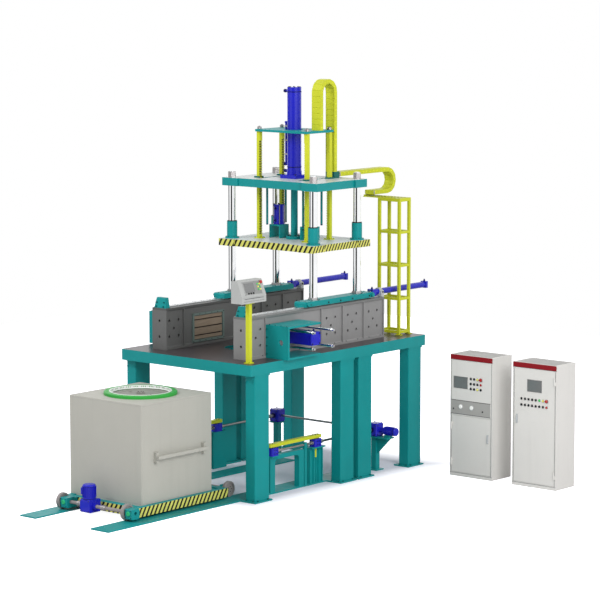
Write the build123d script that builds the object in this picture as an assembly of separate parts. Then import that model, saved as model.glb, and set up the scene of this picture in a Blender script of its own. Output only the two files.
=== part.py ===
"""Low-pressure die casting machine: a press frame on a column-borne base plate,
a furnace on a rail trolley, a lifting drive below the plate and two control cabinets.

Millimetres, +Z up. The sizes below are taken from the floor point under the centre of
the four tie bars; save() moves every piece by SHIFT_X and SHIFT_Y, so that the origin of
the written files is the bottom centre of the whole part's box.
The front faces -Y, and the right-hand side is +X.
"""
import math
import os

from build123d import *

os.makedirs("parts", exist_ok=True)

# Running clearances
RUN_GAP = 0.3
FREE_GAP = 5.0

# Base plate and its columns
PLATE_HALF_WIDTH = 1265.0
PLATE_FRONT_Y = -2445.0
PLATE_REAR_Y = 1605.0
PLATE_TOP_Z = 2000.0
PLATE_THICKNESS = 160.0
PLATE_CORNER_R = 18.0
RISER_HOLE_R = 210.0
RISER_STEP_R = 260.0
RISER_STEP_DEPTH = 30.0
COLUMN_WIDTH = 180.0
COLUMN_DEPTH = 312.0
COLUMN_WALL = 12.0
COLUMN_OUTSET = 15.0
COLUMN_FRONT_Y = -2191.0
COLUMN_SECOND_Y = -269.0
COLUMN_THIRD_Y = 152.0
COLUMN_REAR_Y = 1359.0
COLUMN_CAP = 25.0
COLUMN_FOOT = 22.0
COLUMN_FOOT_MARGIN = 32.0
COLUMN_CAP_MARGIN = 8.0

# Rail beams on the plate
RAIL_CENTRE_X = 795.0
RAIL_WIDTH = 280.0
RAIL_HEIGHT = 612.0
RAIL_FRONT_Y = -2127.0
RAIL_REAR_Y = 1000.0
RAIL_FLANGE = 32.0
RAIL_WEB = 20.0
RAIL_LIP = 22.0
RAIL_RIB = 18.0
CORE_BAY_FRONT_Y = -1750.0
CORE_BAY_REAR_Y = -490.0
REAR_BAYS = 3
BAY_HOLE_R = 20.0
BAY_HOLE_PITCH_Y = 200.0
BAY_HOLE_PITCH_Z = 236.0
STRIP_WIDTH = 90.0
STRIP_HEIGHT = 14.0
STRIP_FRONT_Y = -2010.0

# Stop blocks at the front of the rails
STOP_LENGTH = 94.0
STOP_WIDTH = 230.0
STOP_HEIGHT = 150.0
STOP_TOP_LENGTH = 62.0
STOP_TOP_WIDTH = 170.0
STOP_SETBACK = 12.0

# Side cores
CORE_CENTRE_Y = -1200.0
CORE_CENTRE_Z = 2262.0
CORE_WINDOW_LENGTH = 700.0
CORE_WINDOW_HEIGHT = 432.0
CORE_FRAME_BAR = 34.0
CORE_FRAME_DEPTH = 58.0
CORE_PLATE_GAP = 8.0
CORE_PLATE_THICKNESS = 60.0
CORE_PLATE_RECESS = 14.0
CORE_SLOTS = 3
CORE_SLOT_NECK = 18.0
CORE_SLOT_HEAD = 32.0
CORE_SLOT_DEPTH = 34.0
CORE_SLOT_LIP = 14.0
CORE_ROD_R = 17.0
CORE_ROD_PITCH_Y = 430.0
CORE_ROD_PITCH_Z = 236.0
CORE_ROD_END_X = 1580.0
CORE_RAM_R = 32.0
CORE_BLOCK_LENGTH = 210.0
CORE_BLOCK_HEIGHT = 190.0
CORE_BLOCK_END_X = 1420.0
CORE_BLOCK_CAP = 34.0
BRACKET_FRONT_Y = -1745.0
BRACKET_REAR_Y = -1020.0
BRACKET_REACH = 425.0
BRACKET_HEIGHT = 482.0
BRACKET_PLATE = 30.0
BRACKET_HOLE_R = 42.0

# Carriage that carries the tie bars
TIE_HALF_X = 795.0
TIE_HALF_Y = 510.0
TIE_BAR_R = 60.0
CARRIAGE_WIDTH = 210.0
CARRIAGE_HEIGHT = 78.0
CARRIAGE_FRONT_Y = -815.0
CARRIAGE_REAR_Y = 800.0
CARRIAGE_CHAMFER = 22.0
CARRIAGE_STROKE = 1200.0
ROLLER_R = 28.0
ROLLER_WIDTH = 34.0
TIE_STUD_R = 40.0
NUT_R = 76.0
STUD_NUT_R = 60.0
LOWER_NUT_HEIGHT = 36.0
UPPER_NUT_HEIGHT = 100.0

# Upper platen
UPPER_HALF_X = 925.0
UPPER_HALF_Y = 587.0
UPPER_BOTTOM_Z = 4308.0
UPPER_THICKNESS = 120.0
UPPER_RECESS = 26.0
EAR_X = 300.0
EAR_Y = 270.0

# Moving platen
MOVING_HALF_X = 921.0
MOVING_HALF_Y = 673.0
MOVING_BOTTOM_Z = 3411.0
MOVING_THICKNESS = 103.0
MOVING_RECESS = 24.0
PLATEN_STROKE = 550.0
SLEEVE_R = 78.0
SLEEVE_HEIGHT = 255.0
SLEEVE_FLANGE_R = 104.0
SLEEVE_FLANGE = 22.0

# Main cylinder and its rod
MAIN_CYL_R = 106.0
MAIN_CYL_LENGTH = 1308.0
MAIN_CYL_CAP = 60.0
MAIN_CYL_CAP_R = 112.0
MAIN_FLANGE_HALF = 150.0
MAIN_FLANGE = 52.0
MAIN_BORE_R = 76.0
MAIN_ROD_R = 52.0
ROD_FLANGE_R = 125.0
ROD_FLANGE = 46.0
PORT_R = 20.0
PORT_REACH = 90.0
PORT_HEIGHTS = (50.0, 155.0)
PIPE_R = 16.0
PIPE_X = 160.0
PIPE_TOP = 780.0

# Rack rods, crown plate and the levelling gear
RACK_HALF_X = 464.0
RACK_HALF_Y = 260.0
RACK_SIDE = 60.0
CROWN_TOP_Z = 5156.0
CROWN_THICKNESS = 34.0
CROWN_HALF_X = 502.0
CROWN_HALF_Y = 316.0
CROWN_HOLE_R = 128.0
GEAR_MODULE = 8.0
PINION_TEETH = 12
GEAR_BACKLASH = 1.6
RACK_ROOT = 8.5
RACK_TIP = 5.2
RACK_RUN_OUT = 60.0
TIP_CLEARANCE = 2.5
RACK_FOOT_HALF = 58.0
RACK_FOOT = 14.0
PINION_WIDTH = 56.0
SYNC_SHAFT_R = 20.0
SYNC_SHAFT_DEPTH = 60.0
BEARING_WIDTH = 34.0
BEARING_HALF = 38.0
GUIDE_HEIGHT = 22.0
GUIDE_THICKNESS = 26.0

# Knock-out rods hanging from the upper platen
STOP_ROD_R = 17.0
STOP_ROD_HALF_X = 352.0
STOP_ROD_HALF_Y = 215.0
STOP_ROD_BOTTOM_Z = 3722.0
STOP_ROD_FLANGE_R = 34.0
STOP_ROD_FLANGE = 16.0

# Ejector units on the moving platen
EJECTOR_X = 302.0
EJECTOR_STAND_LENGTH = 216.0
EJECTOR_STAND_WIDTH = 200.0
EJECTOR_STAND_HEIGHT = 178.0
EJECTOR_STAND_WALL = 24.0
EJECTOR_TOP_PLATE = 24.0
EJECTOR_CYL_R = 78.0
EJECTOR_CYL_HEIGHT = 300.0
EJECTOR_CAP_R = 82.0
EJECTOR_CAP = 34.0

# Rear cylinders that push the carriage
PUSH_AXIS_DROP = 24.0
PUSH_CYL_R = 46.0
PUSH_CYL_FRONT_Y = 832.0
PUSH_CYL_END_Y = 2200.0
PUSH_HEAD = 90.0
PUSH_CAP = 24.0
PUSH_PISTON = 30.0
PUSH_HEAD_HALF = 52.0
PUSH_BORE_R = 36.0
PUSH_ROD_R = 22.0
TRUNNION_Y = 1035.0
TRUNNION_R = 60.0
TRUNNION_WIDTH = 60.0
TRUNNION_FOOT_DROP = 62.0

# Drag chains
CHAIN_X = 410.0
CHAIN_WIDTH = 168.0
CHAIN_HEIGHT = 66.0
CHAIN_PITCH = 84.0
CHAIN_NOTCH = 10.0
CHAIN_NOTCH_DEPTH = 6.0
CROWN_CHAIN_FRONT_Y = 48.0
CROWN_CHAIN_BACK_Y = 374.0
CROWN_CHAIN_STRAIGHT = 562.0
CHAIN_BRACKET_HEIGHT = 96.0
UPPER_RUN_Z = 4482.0
LOWER_RUN_Z = 4150.0
UPPER_RUN_START_Y = 462.0
CHAIN_REAR_Y = 1836.0
LOWER_RUN_START_Y = 1290.0

# Lattice tower under the horizontal chain
TOWER_X_LEFT = 610.0
TOWER_X_RIGHT = 990.0
TOWER_Y_FRONT = 1290.0
TOWER_Y_REAR = 1530.0
TOWER_POST = 40.0
TOWER_TOP_Z = 4075.0
TOWER_RUNGS = 5
TOWER_FIRST_RUNG_Z = 2046.0
TOWER_RUNG_PITCH = 507.0
TRAY_LEFT_X = 300.0
TRAY_THICKNESS = 12.0
TRAY_LIP = 34.0

# Operator console on its post
CONSOLE_POST_X = 1090.0
CONSOLE_POST_Y = -2290.0
CONSOLE_POST_SIDE = 64.0
CONSOLE_BOTTOM_Z = 2872.0
CONSOLE_HEIGHT = 318.0
CONSOLE_DEPTH = 205.0
CONSOLE_WIDTH = 520.0
CONSOLE_NOSE = 96.0
CONSOLE_TOP_DEPTH = 115.0

# Floor rails, trolley and furnace
FLOOR_RAIL_OUTER_X = 1000.0
FLOOR_RAIL_MARGIN = 32.0
FLOOR_RAIL_HEIGHT = 20.0
FLOOR_RAIL_FRONT_Y = -5080.0
FLOOR_RAIL_REAR_Y = 480.0
TROLLEY_HALF_X = 800.0
TROLLEY_FRONT_Y = -4262.0
TROLLEY_REAR_Y = -2420.0
TROLLEY_BEAM_WIDTH = 90.0
TROLLEY_BEAM_BOTTOM_Z = 52.0
TROLLEY_BEAM_HEIGHT = 130.0
TROLLEY_DECK = 16.0
WHEEL_R = 115.0
WHEEL_WIDTH = 50.0
WHEEL_INSET = 108.0
LEFT_TRACK_INSET = 135.0
LEFT_FLOOR_RAIL_WIDTH = 305.0
AXLE_R = 24.0
FRONT_AXLE_Y = -4392.0
REAR_AXLE_Y = -2290.0
HOUSING_WIDTH = 132.0
REAR_HOUSING_WIDTH = 70.0
HOUSING_HALF_Y = 78.0
FURNACE_INSET = 97.0
FURNACE_FRONT_Y = -4100.0
FURNACE_REAR_Y = -2650.0
FURNACE_TOP_Z = 1588.0
FURNACE_EDGE = 14.0
FURNACE_POCKET_R = 432.0
FURNACE_POCKET_DEPTH = 70.0
RING_R = 522.0
RING_BORE_R = 424.0
RING_HEIGHT = 44.0
LID_THICKNESS = 40.0
LID_KNOB_R = 60.0
LUG_BAR_Z = 822.0
LUG_BAR_FRONT_Y = -3860.0
LUG_BAR_REAR_Y = -2824.0
LUG_BAR_HEIGHT = 46.0
LUG_BAR_DEPTH = 40.0
LUG_REACH = 92.0
LUG_HEIGHT = 150.0
LUG_WIDTH = 60.0
TROLLEY_MOTOR_X = -34.0
TROLLEY_MOTOR_R = 92.0
TROLLEY_MOTOR_HEIGHT = 210.0
TROLLEY_GEAR_HALF = 92.0

# Lifting drive under the plate
LIFT_X = 978.0
LIFT_FRONT_Y = -1650.0
LIFT_REAR_Y = -680.0
LIFT_BEAM_WIDTH = 84.0
LIFT_BEAM_HEIGHT = 46.0
LIFT_BEAM_Z = 692.0
LIFT_BEAM_OVERHANG = 90.0
LIFT_STROKE = 160.0
LIFT_SCREW_R = 18.0
JACK_SIDE_X = 130.0
JACK_SIDE_Y = 150.0
JACK_HEIGHT = 118.0
JACK_GAP_BELOW_BEAM = 12.0
STAND_SIDE_X = 140.0
STAND_SIDE_Y = 300.0
STAND_PLATE = 18.0
STAND_LEG = 110.0
PORTAL_REAR_Y = -966.0
PORTAL_TOP = 62.0
PORTAL_ARCH_R = 60.0
BEVEL_Y = 745.0
BEVEL_SIDE = 180.0
BEVEL_HEIGHT = 200.0
LIFT_SHAFT_R = 17.0
LIFT_MOTOR_R = 62.0
LIFT_MOTOR_LENGTH = 230.0
LIFT_MOTOR_NECK = 86.0
LIFT_MOTOR_NECK_R = 40.0
SHELF_GUSSET = 22.0
BEARING_POST_Y = -922.0
BEARING_POST_SIDE_X = 40.0
BEARING_POST_SIDE_Y = 56.0

# Control cabinets
CABINET_WIDTH = 780.0
CABINET_DEPTH = 480.0
CABINET_HEIGHT = 1840.0
CABINET_FRONT_Y = 1140.0
LEFT_CABINET_X = 2090.0
RIGHT_CABINET_X = 3232.0
CABINET_WALL = 30.0
CABINET_HEADER = 76.0
CABINET_PLINTH = 60.0
CABINET_BAND_Z = 925.0
DOOR_THICKNESS = 24.0
DOOR_GAP = 4.0
HINGE_R = 10.0
HINGE_PIN_R = 4.5
HINGE_PIN_GAP = 0.06
HINGE_LENGTH = 55.0
HINGE_INSET = 160.0

# Places worked out from the sizes above
PLATE_BOTTOM_Z = PLATE_TOP_Z - PLATE_THICKNESS
RAIL_TOP_Z = PLATE_TOP_Z + RAIL_HEIGHT
STRIP_TOP_Z = RAIL_TOP_Z + STRIP_HEIGHT
CARRIAGE_TOP_Z = STRIP_TOP_Z + CARRIAGE_HEIGHT
PUSH_AXIS_Z = CARRIAGE_TOP_Z - PUSH_AXIS_DROP
UPPER_TOP_Z = UPPER_BOTTOM_Z + UPPER_THICKNESS
MOVING_TOP_Z = MOVING_BOTTOM_Z + MOVING_THICKNESS
CROWN_BOTTOM_Z = CROWN_TOP_Z - CROWN_THICKNESS
MAIN_CYL_TOP_Z = UPPER_TOP_Z + MAIN_FLANGE + MAIN_CYL_LENGTH
WHEEL_X = TROLLEY_HALF_X - WHEEL_INSET
FURNACE_HALF_X = TROLLEY_HALF_X - FURNACE_INSET
FLOOR_RAIL_INNER_X = WHEEL_X - FLOOR_RAIL_MARGIN
COLUMN_X = PLATE_HALF_WIDTH - COLUMN_OUTSET - COLUMN_WIDTH / 2
COLUMN_ROWS = [COLUMN_FRONT_Y, COLUMN_SECOND_Y, COLUMN_THIRD_Y, COLUMN_REAR_Y]
TIE_PLACES = [(x, y) for x in (-TIE_HALF_X, TIE_HALF_X) for y in (-TIE_HALF_Y, TIE_HALF_Y)]
RACK_PLACES = [(x, y) for x in (-RACK_HALF_X, RACK_HALF_X) for y in (-RACK_HALF_Y, RACK_HALF_Y)]
SIDES = (-1, 1)


LOW_X = -CORE_ROD_END_X
HIGH_X = RIGHT_CABINET_X + CABINET_WIDTH
LOW_Y = FLOOR_RAIL_FRONT_Y
HIGH_Y = PUSH_CYL_END_Y
SHIFT_X = -(LOW_X + HIGH_X) / 2
SHIFT_Y = -(LOW_Y + HIGH_Y) / 2


def block(x0, x1, y0, y1, z0, z1):
    """A box from its low and high corners, given in any order."""
    size = (abs(x1 - x0), abs(y1 - y0), abs(z1 - z0))
    centre = ((x0 + x1) / 2, (y0 + y1) / 2, (z0 + z1) / 2)
    return Pos(*centre) * Box(*size)


def pillar(x, y, half_x, half_y, z0, z1):
    """A box round an upright line, from its half width and half depth."""
    return block(x - half_x, x + half_x, y - half_y, y + half_y, z0, z1)


def core_slab(x0, x1, half_y, half_z):
    """A box round the side cores' common line, along X."""
    y = CORE_CENTRE_Y
    z = CORE_CENTRE_Z
    return block(x0, x1, y - half_y, y + half_y, z - half_z, z + half_z)


def rod_x(radius, x0, x1, y, z):
    """A round bar along X."""
    return Pos((x0 + x1) / 2, y, z) * Rot(0, 90, 0) * Cylinder(radius, abs(x1 - x0))


def rod_y(radius, y0, y1, x, z):
    """A round bar along Y."""
    return Pos(x, (y0 + y1) / 2, z) * Rot(90, 0, 0) * Cylinder(radius, abs(y1 - y0))


def rod_z(radius, z0, z1, x, y):
    """A round bar along Z."""
    return Pos(x, y, (z0 + z1) / 2) * Cylinder(radius, abs(z1 - z0))


def hex_nut(radius, z0, z1, x, y):
    """A hexagonal nut standing on its face."""
    outline = Pos(x, y, z0) * RegularPolygon(radius, 6)
    return extrude(outline, z1 - z0, dir=(0, 0, 1))


def solids_of(shapes):
    """All the solids of a list of shapes."""
    found = []
    for shape in shapes:
        found.extend(shape.solids())
    return found


def save(node, *shapes):
    """Write the shapes of one node to its own file, moved so that the origin is the
    bottom centre of the whole part's box."""
    pieces = [Pos(SHIFT_X, SHIFT_Y, 0) * shape for shape in solids_of(shapes)]
    export_step(Compound(children=pieces), f"parts/{node}.step")


def both_sides(make):
    """The pieces that a function makes for the left and for the right side."""
    return [make(side) for side in SIDES]


def base_plate():
    """The thick plate with the stepped riser hole under the tie bars' front position."""
    centre_y = (PLATE_FRONT_Y + PLATE_REAR_Y) / 2
    outline = Pos(0, centre_y, PLATE_BOTTOM_Z) * RectangleRounded(
        2 * PLATE_HALF_WIDTH, PLATE_REAR_Y - PLATE_FRONT_Y, PLATE_CORNER_R
    )
    plate = extrude(outline, PLATE_THICKNESS, dir=(0, 0, 1))
    plate -= rod_z(RISER_HOLE_R, PLATE_BOTTOM_Z, PLATE_TOP_Z, 0, CORE_CENTRE_Y)
    plate -= rod_z(RISER_STEP_R, PLATE_TOP_Z - RISER_STEP_DEPTH, PLATE_TOP_Z, 0, CORE_CENTRE_Y)
    return plate


def column(x, y):
    """A box column with its foot plate and cap plate."""
    half_x = COLUMN_WIDTH / 2
    half_y = COLUMN_DEPTH / 2
    tube_bottom = COLUMN_FOOT
    tube_top = PLATE_BOTTOM_Z - COLUMN_CAP
    body = block(x - half_x, x + half_x, y - half_y, y + half_y, tube_bottom, tube_top)
    body = fillet(body.edges().filter_by(Axis.Z), COLUMN_WALL)
    inner_x = half_x - COLUMN_WALL
    inner_y = half_y - COLUMN_WALL
    body -= block(x - inner_x, x + inner_x, y - inner_y, y + inner_y, tube_bottom, tube_top)
    cap_x = half_x + COLUMN_CAP_MARGIN
    cap_y = half_y + COLUMN_CAP_MARGIN
    body += block(x - cap_x, x + cap_x, y - cap_y, y + cap_y, tube_top, PLATE_BOTTOM_Z)
    side = math.copysign(1, x)
    foot_y = half_y + COLUMN_FOOT_MARGIN
    inner = side * FLOOR_RAIL_OUTER_X
    outer = x + side * (half_x + COLUMN_FOOT_MARGIN)
    body += block(inner, outer, y - foot_y, y + foot_y, 0, COLUMN_FOOT)
    return body


def bay_edges():
    """The Y places of the ribs from the front of a rail to its rear."""
    pitch = (RAIL_REAR_Y - CORE_BAY_REAR_Y) / REAR_BAYS
    rear = [CORE_BAY_REAR_Y + pitch * step for step in range(REAR_BAYS + 1)]
    return [RAIL_FRONT_Y, CORE_BAY_FRONT_Y] + rear


def holed_bays():
    """The bays that have five holes: all but the long one of the side core."""
    edges = bay_edges()
    pairs = list(zip(edges[:-1], edges[1:]))
    return [pair for pair in pairs if pair[0] != CORE_BAY_FRONT_Y]


def core_rod_places():
    """The Y and Z places of the four guide rods of a side core."""
    steps = (-0.5, 0.5)
    return [
        (CORE_CENTRE_Y + CORE_ROD_PITCH_Y * a, CORE_CENTRE_Z + CORE_ROD_PITCH_Z * b)
        for a in steps
        for b in steps
    ]


def rail_beam(side):
    """A box beam with two webs, lipped flanges, outer ribs, bolt holes and the core window."""
    centre = side * RAIL_CENTRE_X
    half = RAIL_WIDTH / 2
    web_outer = half - RAIL_LIP
    web_inner = web_outer - RAIL_WEB
    low = PLATE_TOP_Z + RAIL_FLANGE
    high = RAIL_TOP_Z - RAIL_FLANGE
    beam = block(centre - half, centre + half, RAIL_FRONT_Y, RAIL_REAR_Y, PLATE_TOP_Z, low)
    beam += block(centre - half, centre + half, RAIL_FRONT_Y, RAIL_REAR_Y, high, RAIL_TOP_Z)
    for face in SIDES:
        beam += block(
            centre + face * web_inner, centre + face * web_outer, RAIL_FRONT_Y, RAIL_REAR_Y, low, high
        )
    corners = []
    for edge in beam.edges().filter_by(Axis.Y):
        spot = edge.center()
        on_web = abs(abs(spot.X - centre) - web_outer) < RUN_GAP
        inside = low - RUN_GAP < spot.Z < high + RUN_GAP
        if on_web and inside:
            corners.append(edge)
    beam = fillet(corners, RAIL_LIP - 2)
    for face in SIDES:
        for edge in bay_edges():
            start = min(edge, RAIL_REAR_Y - RAIL_RIB)
            beam += block(
                centre + face * web_outer, centre + face * half, start, start + RAIL_RIB, low, high
            )
    for start in (RAIL_FRONT_Y, RAIL_REAR_Y - RAIL_RIB):
        beam += block(centre - web_inner, centre + web_inner, start, start + RAIL_RIB, low, high)
    cuts = []
    for front, rear in holed_bays():
        middle_y = (front + rear) / 2
        middle_z = (low + high) / 2
        places = [(0, 0)] + [(a, b) for a in (-0.5, 0.5) for b in (-0.5, 0.5)]
        for a, b in places:
            y = middle_y + a * BAY_HOLE_PITCH_Y
            z = middle_z + b * BAY_HOLE_PITCH_Z
            cuts.append(rod_x(BAY_HOLE_R, centre - half, centre + half, y, z))
    for y, z in core_rod_places():
        cuts.append(rod_x(CORE_ROD_R + RUN_GAP, centre, centre + side * half, y, z))
    cuts.append(rod_x(CORE_RAM_R + RUN_GAP, centre, centre + side * half, CORE_CENTRE_Y, CORE_CENTRE_Z))
    cuts.append(core_slab(centre, centre - side * half, CORE_WINDOW_LENGTH / 2, CORE_WINDOW_HEIGHT / 2))
    for b in (-0.5, 0.5):
        z = (low + high) / 2 + b * BAY_HOLE_PITCH_Z
        cuts.append(rod_y(BAY_HOLE_R, RAIL_FRONT_Y, RAIL_FRONT_Y + RAIL_RIB, centre, z))
    return beam - cuts


def guide_strip(side):
    """The hardened strip along a rail's top, on which the carriage runs."""
    x = side * RAIL_CENTRE_X
    half = STRIP_WIDTH / 2
    return block(x - half, x + half, STRIP_FRONT_Y, RAIL_REAR_Y, RAIL_TOP_Z, STRIP_TOP_Z)


def stop_block(side):
    """The tapered block that stops the carriage at the front of a rail."""
    y = RAIL_FRONT_Y + STOP_SETBACK + STOP_LENGTH / 2
    base = Pos(side * RAIL_CENTRE_X, y, RAIL_TOP_Z) * Rectangle(STOP_WIDTH, STOP_LENGTH)
    crest = Pos(side * RAIL_CENTRE_X, y + (STOP_LENGTH - STOP_TOP_LENGTH) / 2, RAIL_TOP_Z + STOP_HEIGHT)
    return loft([base, crest * Rectangle(STOP_TOP_WIDTH, STOP_TOP_LENGTH)])


def core_bracket(side):
    """The open bracket of plates round a side core's cylinder."""
    face = side * (RAIL_CENTRE_X + RAIL_WIDTH / 2)
    tip = face + side * BRACKET_REACH
    low = PLATE_TOP_Z
    high = PLATE_TOP_Z + BRACKET_HEIGHT
    bracket = block(face, tip, BRACKET_FRONT_Y, BRACKET_FRONT_Y + BRACKET_PLATE, low, high)
    bracket += block(face, tip, BRACKET_FRONT_Y, BRACKET_REAR_Y, high - BRACKET_PLATE, high)
    bracket += block(face, tip, BRACKET_FRONT_Y, BRACKET_REAR_Y, low, low + BRACKET_PLATE)
    hole_x = (face + tip) / 2 + side * BRACKET_REACH / 6
    hole_z = (low + high) / 2
    return bracket - rod_y(BRACKET_HOLE_R, BRACKET_FRONT_Y, BRACKET_FRONT_Y + BRACKET_PLATE, hole_x, hole_z)


def core_cylinder(side):
    """The short block cylinder that drives a side core."""
    face = side * (RAIL_CENTRE_X + RAIL_WIDTH / 2)
    tip = side * CORE_BLOCK_END_X
    half_y = CORE_BLOCK_LENGTH / 2
    half_z = CORE_BLOCK_HEIGHT / 2
    body = core_slab(face, tip, half_y, half_z)
    body = chamfer(body.edges().filter_by(Axis.X), CORE_BLOCK_CAP / 3)
    cap = tip - side * CORE_BLOCK_CAP
    inset = CORE_BLOCK_CAP / 4
    groove = core_slab(cap, cap - side * inset, half_y, half_z)
    groove -= core_slab(tip, face, half_y - inset, half_z - inset)
    bore = rod_x(CORE_RAM_R + RUN_GAP, face, cap, CORE_CENTRE_Y, CORE_CENTRE_Z)
    return body - groove - bore


def core_frame(side):
    """The guide frame round a core window, on the rail's inner face."""
    outer = side * (RAIL_CENTRE_X - RAIL_WIDTH / 2)
    inner = side * (RAIL_CENTRE_X - RAIL_WIDTH / 2 + CORE_FRAME_DEPTH)
    half_y = CORE_WINDOW_LENGTH / 2
    half_z = CORE_WINDOW_HEIGHT / 2
    bar = CORE_FRAME_BAR
    return core_slab(outer, inner, half_y, half_z) - core_slab(outer, inner, half_y - bar, half_z - bar)


def core_plate(side):
    """The slotted core plate with its four guide rods and its ram."""
    face = side * (RAIL_CENTRE_X - RAIL_WIDTH / 2 + CORE_PLATE_RECESS)
    back = face + side * CORE_PLATE_THICKNESS
    half_y = CORE_WINDOW_LENGTH / 2 - CORE_FRAME_BAR - CORE_PLATE_GAP
    half_z = CORE_WINDOW_HEIGHT / 2 - CORE_FRAME_BAR - CORE_PLATE_GAP
    plate = core_slab(face, back, half_y, half_z)
    pitch = 2 * half_z / CORE_SLOTS
    for step in range(CORE_SLOTS):
        z = CORE_CENTRE_Z - half_z + pitch * (step + 0.5)
        neck = CORE_SLOT_NECK / 2
        head = CORE_SLOT_HEAD / 2
        lip = face + side * CORE_SLOT_LIP
        floor = face + side * CORE_SLOT_DEPTH
        plate -= block(face, lip, CORE_CENTRE_Y - half_y, CORE_CENTRE_Y + half_y, z - neck, z + neck)
        plate -= block(lip, floor, CORE_CENTRE_Y - half_y, CORE_CENTRE_Y + half_y, z - head, z + head)
    for y, z in core_rod_places():
        plate += rod_x(CORE_ROD_R, back, side * CORE_ROD_END_X, y, z)
    ram_end = side * (CORE_BLOCK_END_X - 2 * CORE_BLOCK_CAP)
    return plate + rod_x(CORE_RAM_R, back, ram_end, CORE_CENTRE_Y, CORE_CENTRE_Z)


def carriage_bar(side):
    """The bar that runs on a rail and carries two tie bars."""
    x = side * RAIL_CENTRE_X
    half = CARRIAGE_WIDTH / 2
    bar = block(x - half, x + half, CARRIAGE_FRONT_Y, CARRIAGE_REAR_Y, STRIP_TOP_Z + RUN_GAP, CARRIAGE_TOP_Z)
    ends = bar.edges().filter_by(Axis.X).group_by(Axis.Z)[-1]
    bar = chamfer(ends, CARRIAGE_CHAMFER)
    for y in (-TIE_HALF_Y, TIE_HALF_Y):
        bar -= rod_z(TIE_BAR_R, STRIP_TOP_Z, CARRIAGE_TOP_Z, side * TIE_HALF_X, y)
    outer = side * (RAIL_CENTRE_X + CARRIAGE_WIDTH / 2)
    z = STRIP_TOP_Z + CARRIAGE_HEIGHT / 2
    for y in (CARRIAGE_FRONT_Y + 2 * ROLLER_R, CARRIAGE_REAR_Y - 2 * ROLLER_R):
        bar += rod_x(ROLLER_R, outer, outer + side * ROLLER_WIDTH, y, z)
    return bar


def tie_bar(place):
    """A tie bar from the carriage to its shoulder, and its stud through the upper platen."""
    x, y = place
    bar = rod_z(TIE_BAR_R, STRIP_TOP_Z + RUN_GAP, UPPER_BOTTOM_Z, x, y)
    stud = rod_z(TIE_STUD_R, UPPER_BOTTOM_Z, UPPER_TOP_Z + UPPER_NUT_HEIGHT, x, y)
    return bar + chamfer(stud.edges().group_by(Axis.Z)[-1], TIE_STUD_R / 8)


def tie_nuts(place):
    """The collar on the carriage and the nut on the upper platen."""
    x, y = place
    collar = hex_nut(NUT_R, CARRIAGE_TOP_Z, CARRIAGE_TOP_Z + LOWER_NUT_HEIGHT, x, y)
    collar -= rod_z(TIE_BAR_R, CARRIAGE_TOP_Z, CARRIAGE_TOP_Z + LOWER_NUT_HEIGHT, x, y)
    nut_top = UPPER_TOP_Z + UPPER_NUT_HEIGHT - TIE_STUD_R / 4
    nut = hex_nut(STUD_NUT_R, UPPER_TOP_Z, nut_top, x, y)
    return [collar, nut - rod_z(TIE_STUD_R, UPPER_TOP_Z, nut_top, x, y)]


def eared_plate(half_x, half_y, recess, z0, z1):
    """A plate whose four corners stand out from its sides as ears."""
    plate = block(-half_x, half_x, -half_y, half_y, z0, z1)
    for side in SIDES:
        plate -= block(side * (half_x - recess), side * half_x, -(half_y - EAR_Y), half_y - EAR_Y, z0, z1)
        plate -= block(-(half_x - EAR_X), half_x - EAR_X, side * (half_y - recess), side * half_y, z0, z1)
    return plate


def rack_hole(x, y, z0, z1, gap):
    """The square hole that a rack rod passes through."""
    half = RACK_SIDE / 2 + gap
    return block(x - half, x + half, y - half, y + half, z0, z1)


def upper_platen():
    """The fixed upper platen, drilled for the tie bars, racks and main rod and pocketed
    for the levelling shafts, their pinions and bearings."""
    plate = eared_plate(UPPER_HALF_X, UPPER_HALF_Y, UPPER_RECESS, UPPER_BOTTOM_Z, UPPER_TOP_Z)
    cuts = [rod_z(TIE_STUD_R, UPPER_BOTTOM_Z, UPPER_TOP_Z, x, y) for x, y in TIE_PLACES]
    cuts += [rack_hole(x, y, UPPER_BOTTOM_Z, UPPER_TOP_Z, FREE_GAP) for x, y in RACK_PLACES]
    cuts.append(rod_z(MAIN_ROD_R + FREE_GAP, UPPER_BOTTOM_Z, UPPER_TOP_Z, 0, 0))
    for side in SIDES:
        x = side * pinion_x()
        channel = SYNC_SHAFT_R + FREE_GAP
        reach = shaft_reach() + FREE_GAP
        cuts.append(block(x - channel, x + channel, -reach, reach, sync_z() - channel, UPPER_TOP_Z))
    for x, y in RACK_PLACES:
        side = 1 if x > 0 else -1
        half = PINION_WIDTH / 2 + FREE_GAP
        inner = side * (pinion_x() - pinion_tip_r() - FREE_GAP)
        cuts.append(block(inner, x, y - half, y + half, UPPER_BOTTOM_Z, UPPER_TOP_Z))
        half += BEARING_WIDTH
        low = sync_z() - BEARING_HALF
        cuts.append(pillar(side * pinion_x(), y, BEARING_HALF, half, low, UPPER_TOP_Z))
    return plate - cuts


def moving_platen():
    """The moving platen, bored for the tie bars."""
    plate = eared_plate(MOVING_HALF_X, MOVING_HALF_Y, MOVING_RECESS, MOVING_BOTTOM_Z, MOVING_TOP_Z)
    return plate - [rod_z(TIE_BAR_R + RUN_GAP, MOVING_BOTTOM_Z, MOVING_TOP_Z, x, y) for x, y in TIE_PLACES]


def guide_sleeve(place):
    """A flanged sleeve that guides the moving platen on a tie bar."""
    x, y = place
    sleeve = rod_z(SLEEVE_R, MOVING_TOP_Z, MOVING_TOP_Z + SLEEVE_HEIGHT, x, y)
    sleeve += rod_z(SLEEVE_FLANGE_R, MOVING_TOP_Z, MOVING_TOP_Z + SLEEVE_FLANGE, x, y)
    return sleeve - rod_z(TIE_BAR_R + RUN_GAP, MOVING_TOP_Z, MOVING_TOP_Z + SLEEVE_HEIGHT, x, y)


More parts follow.
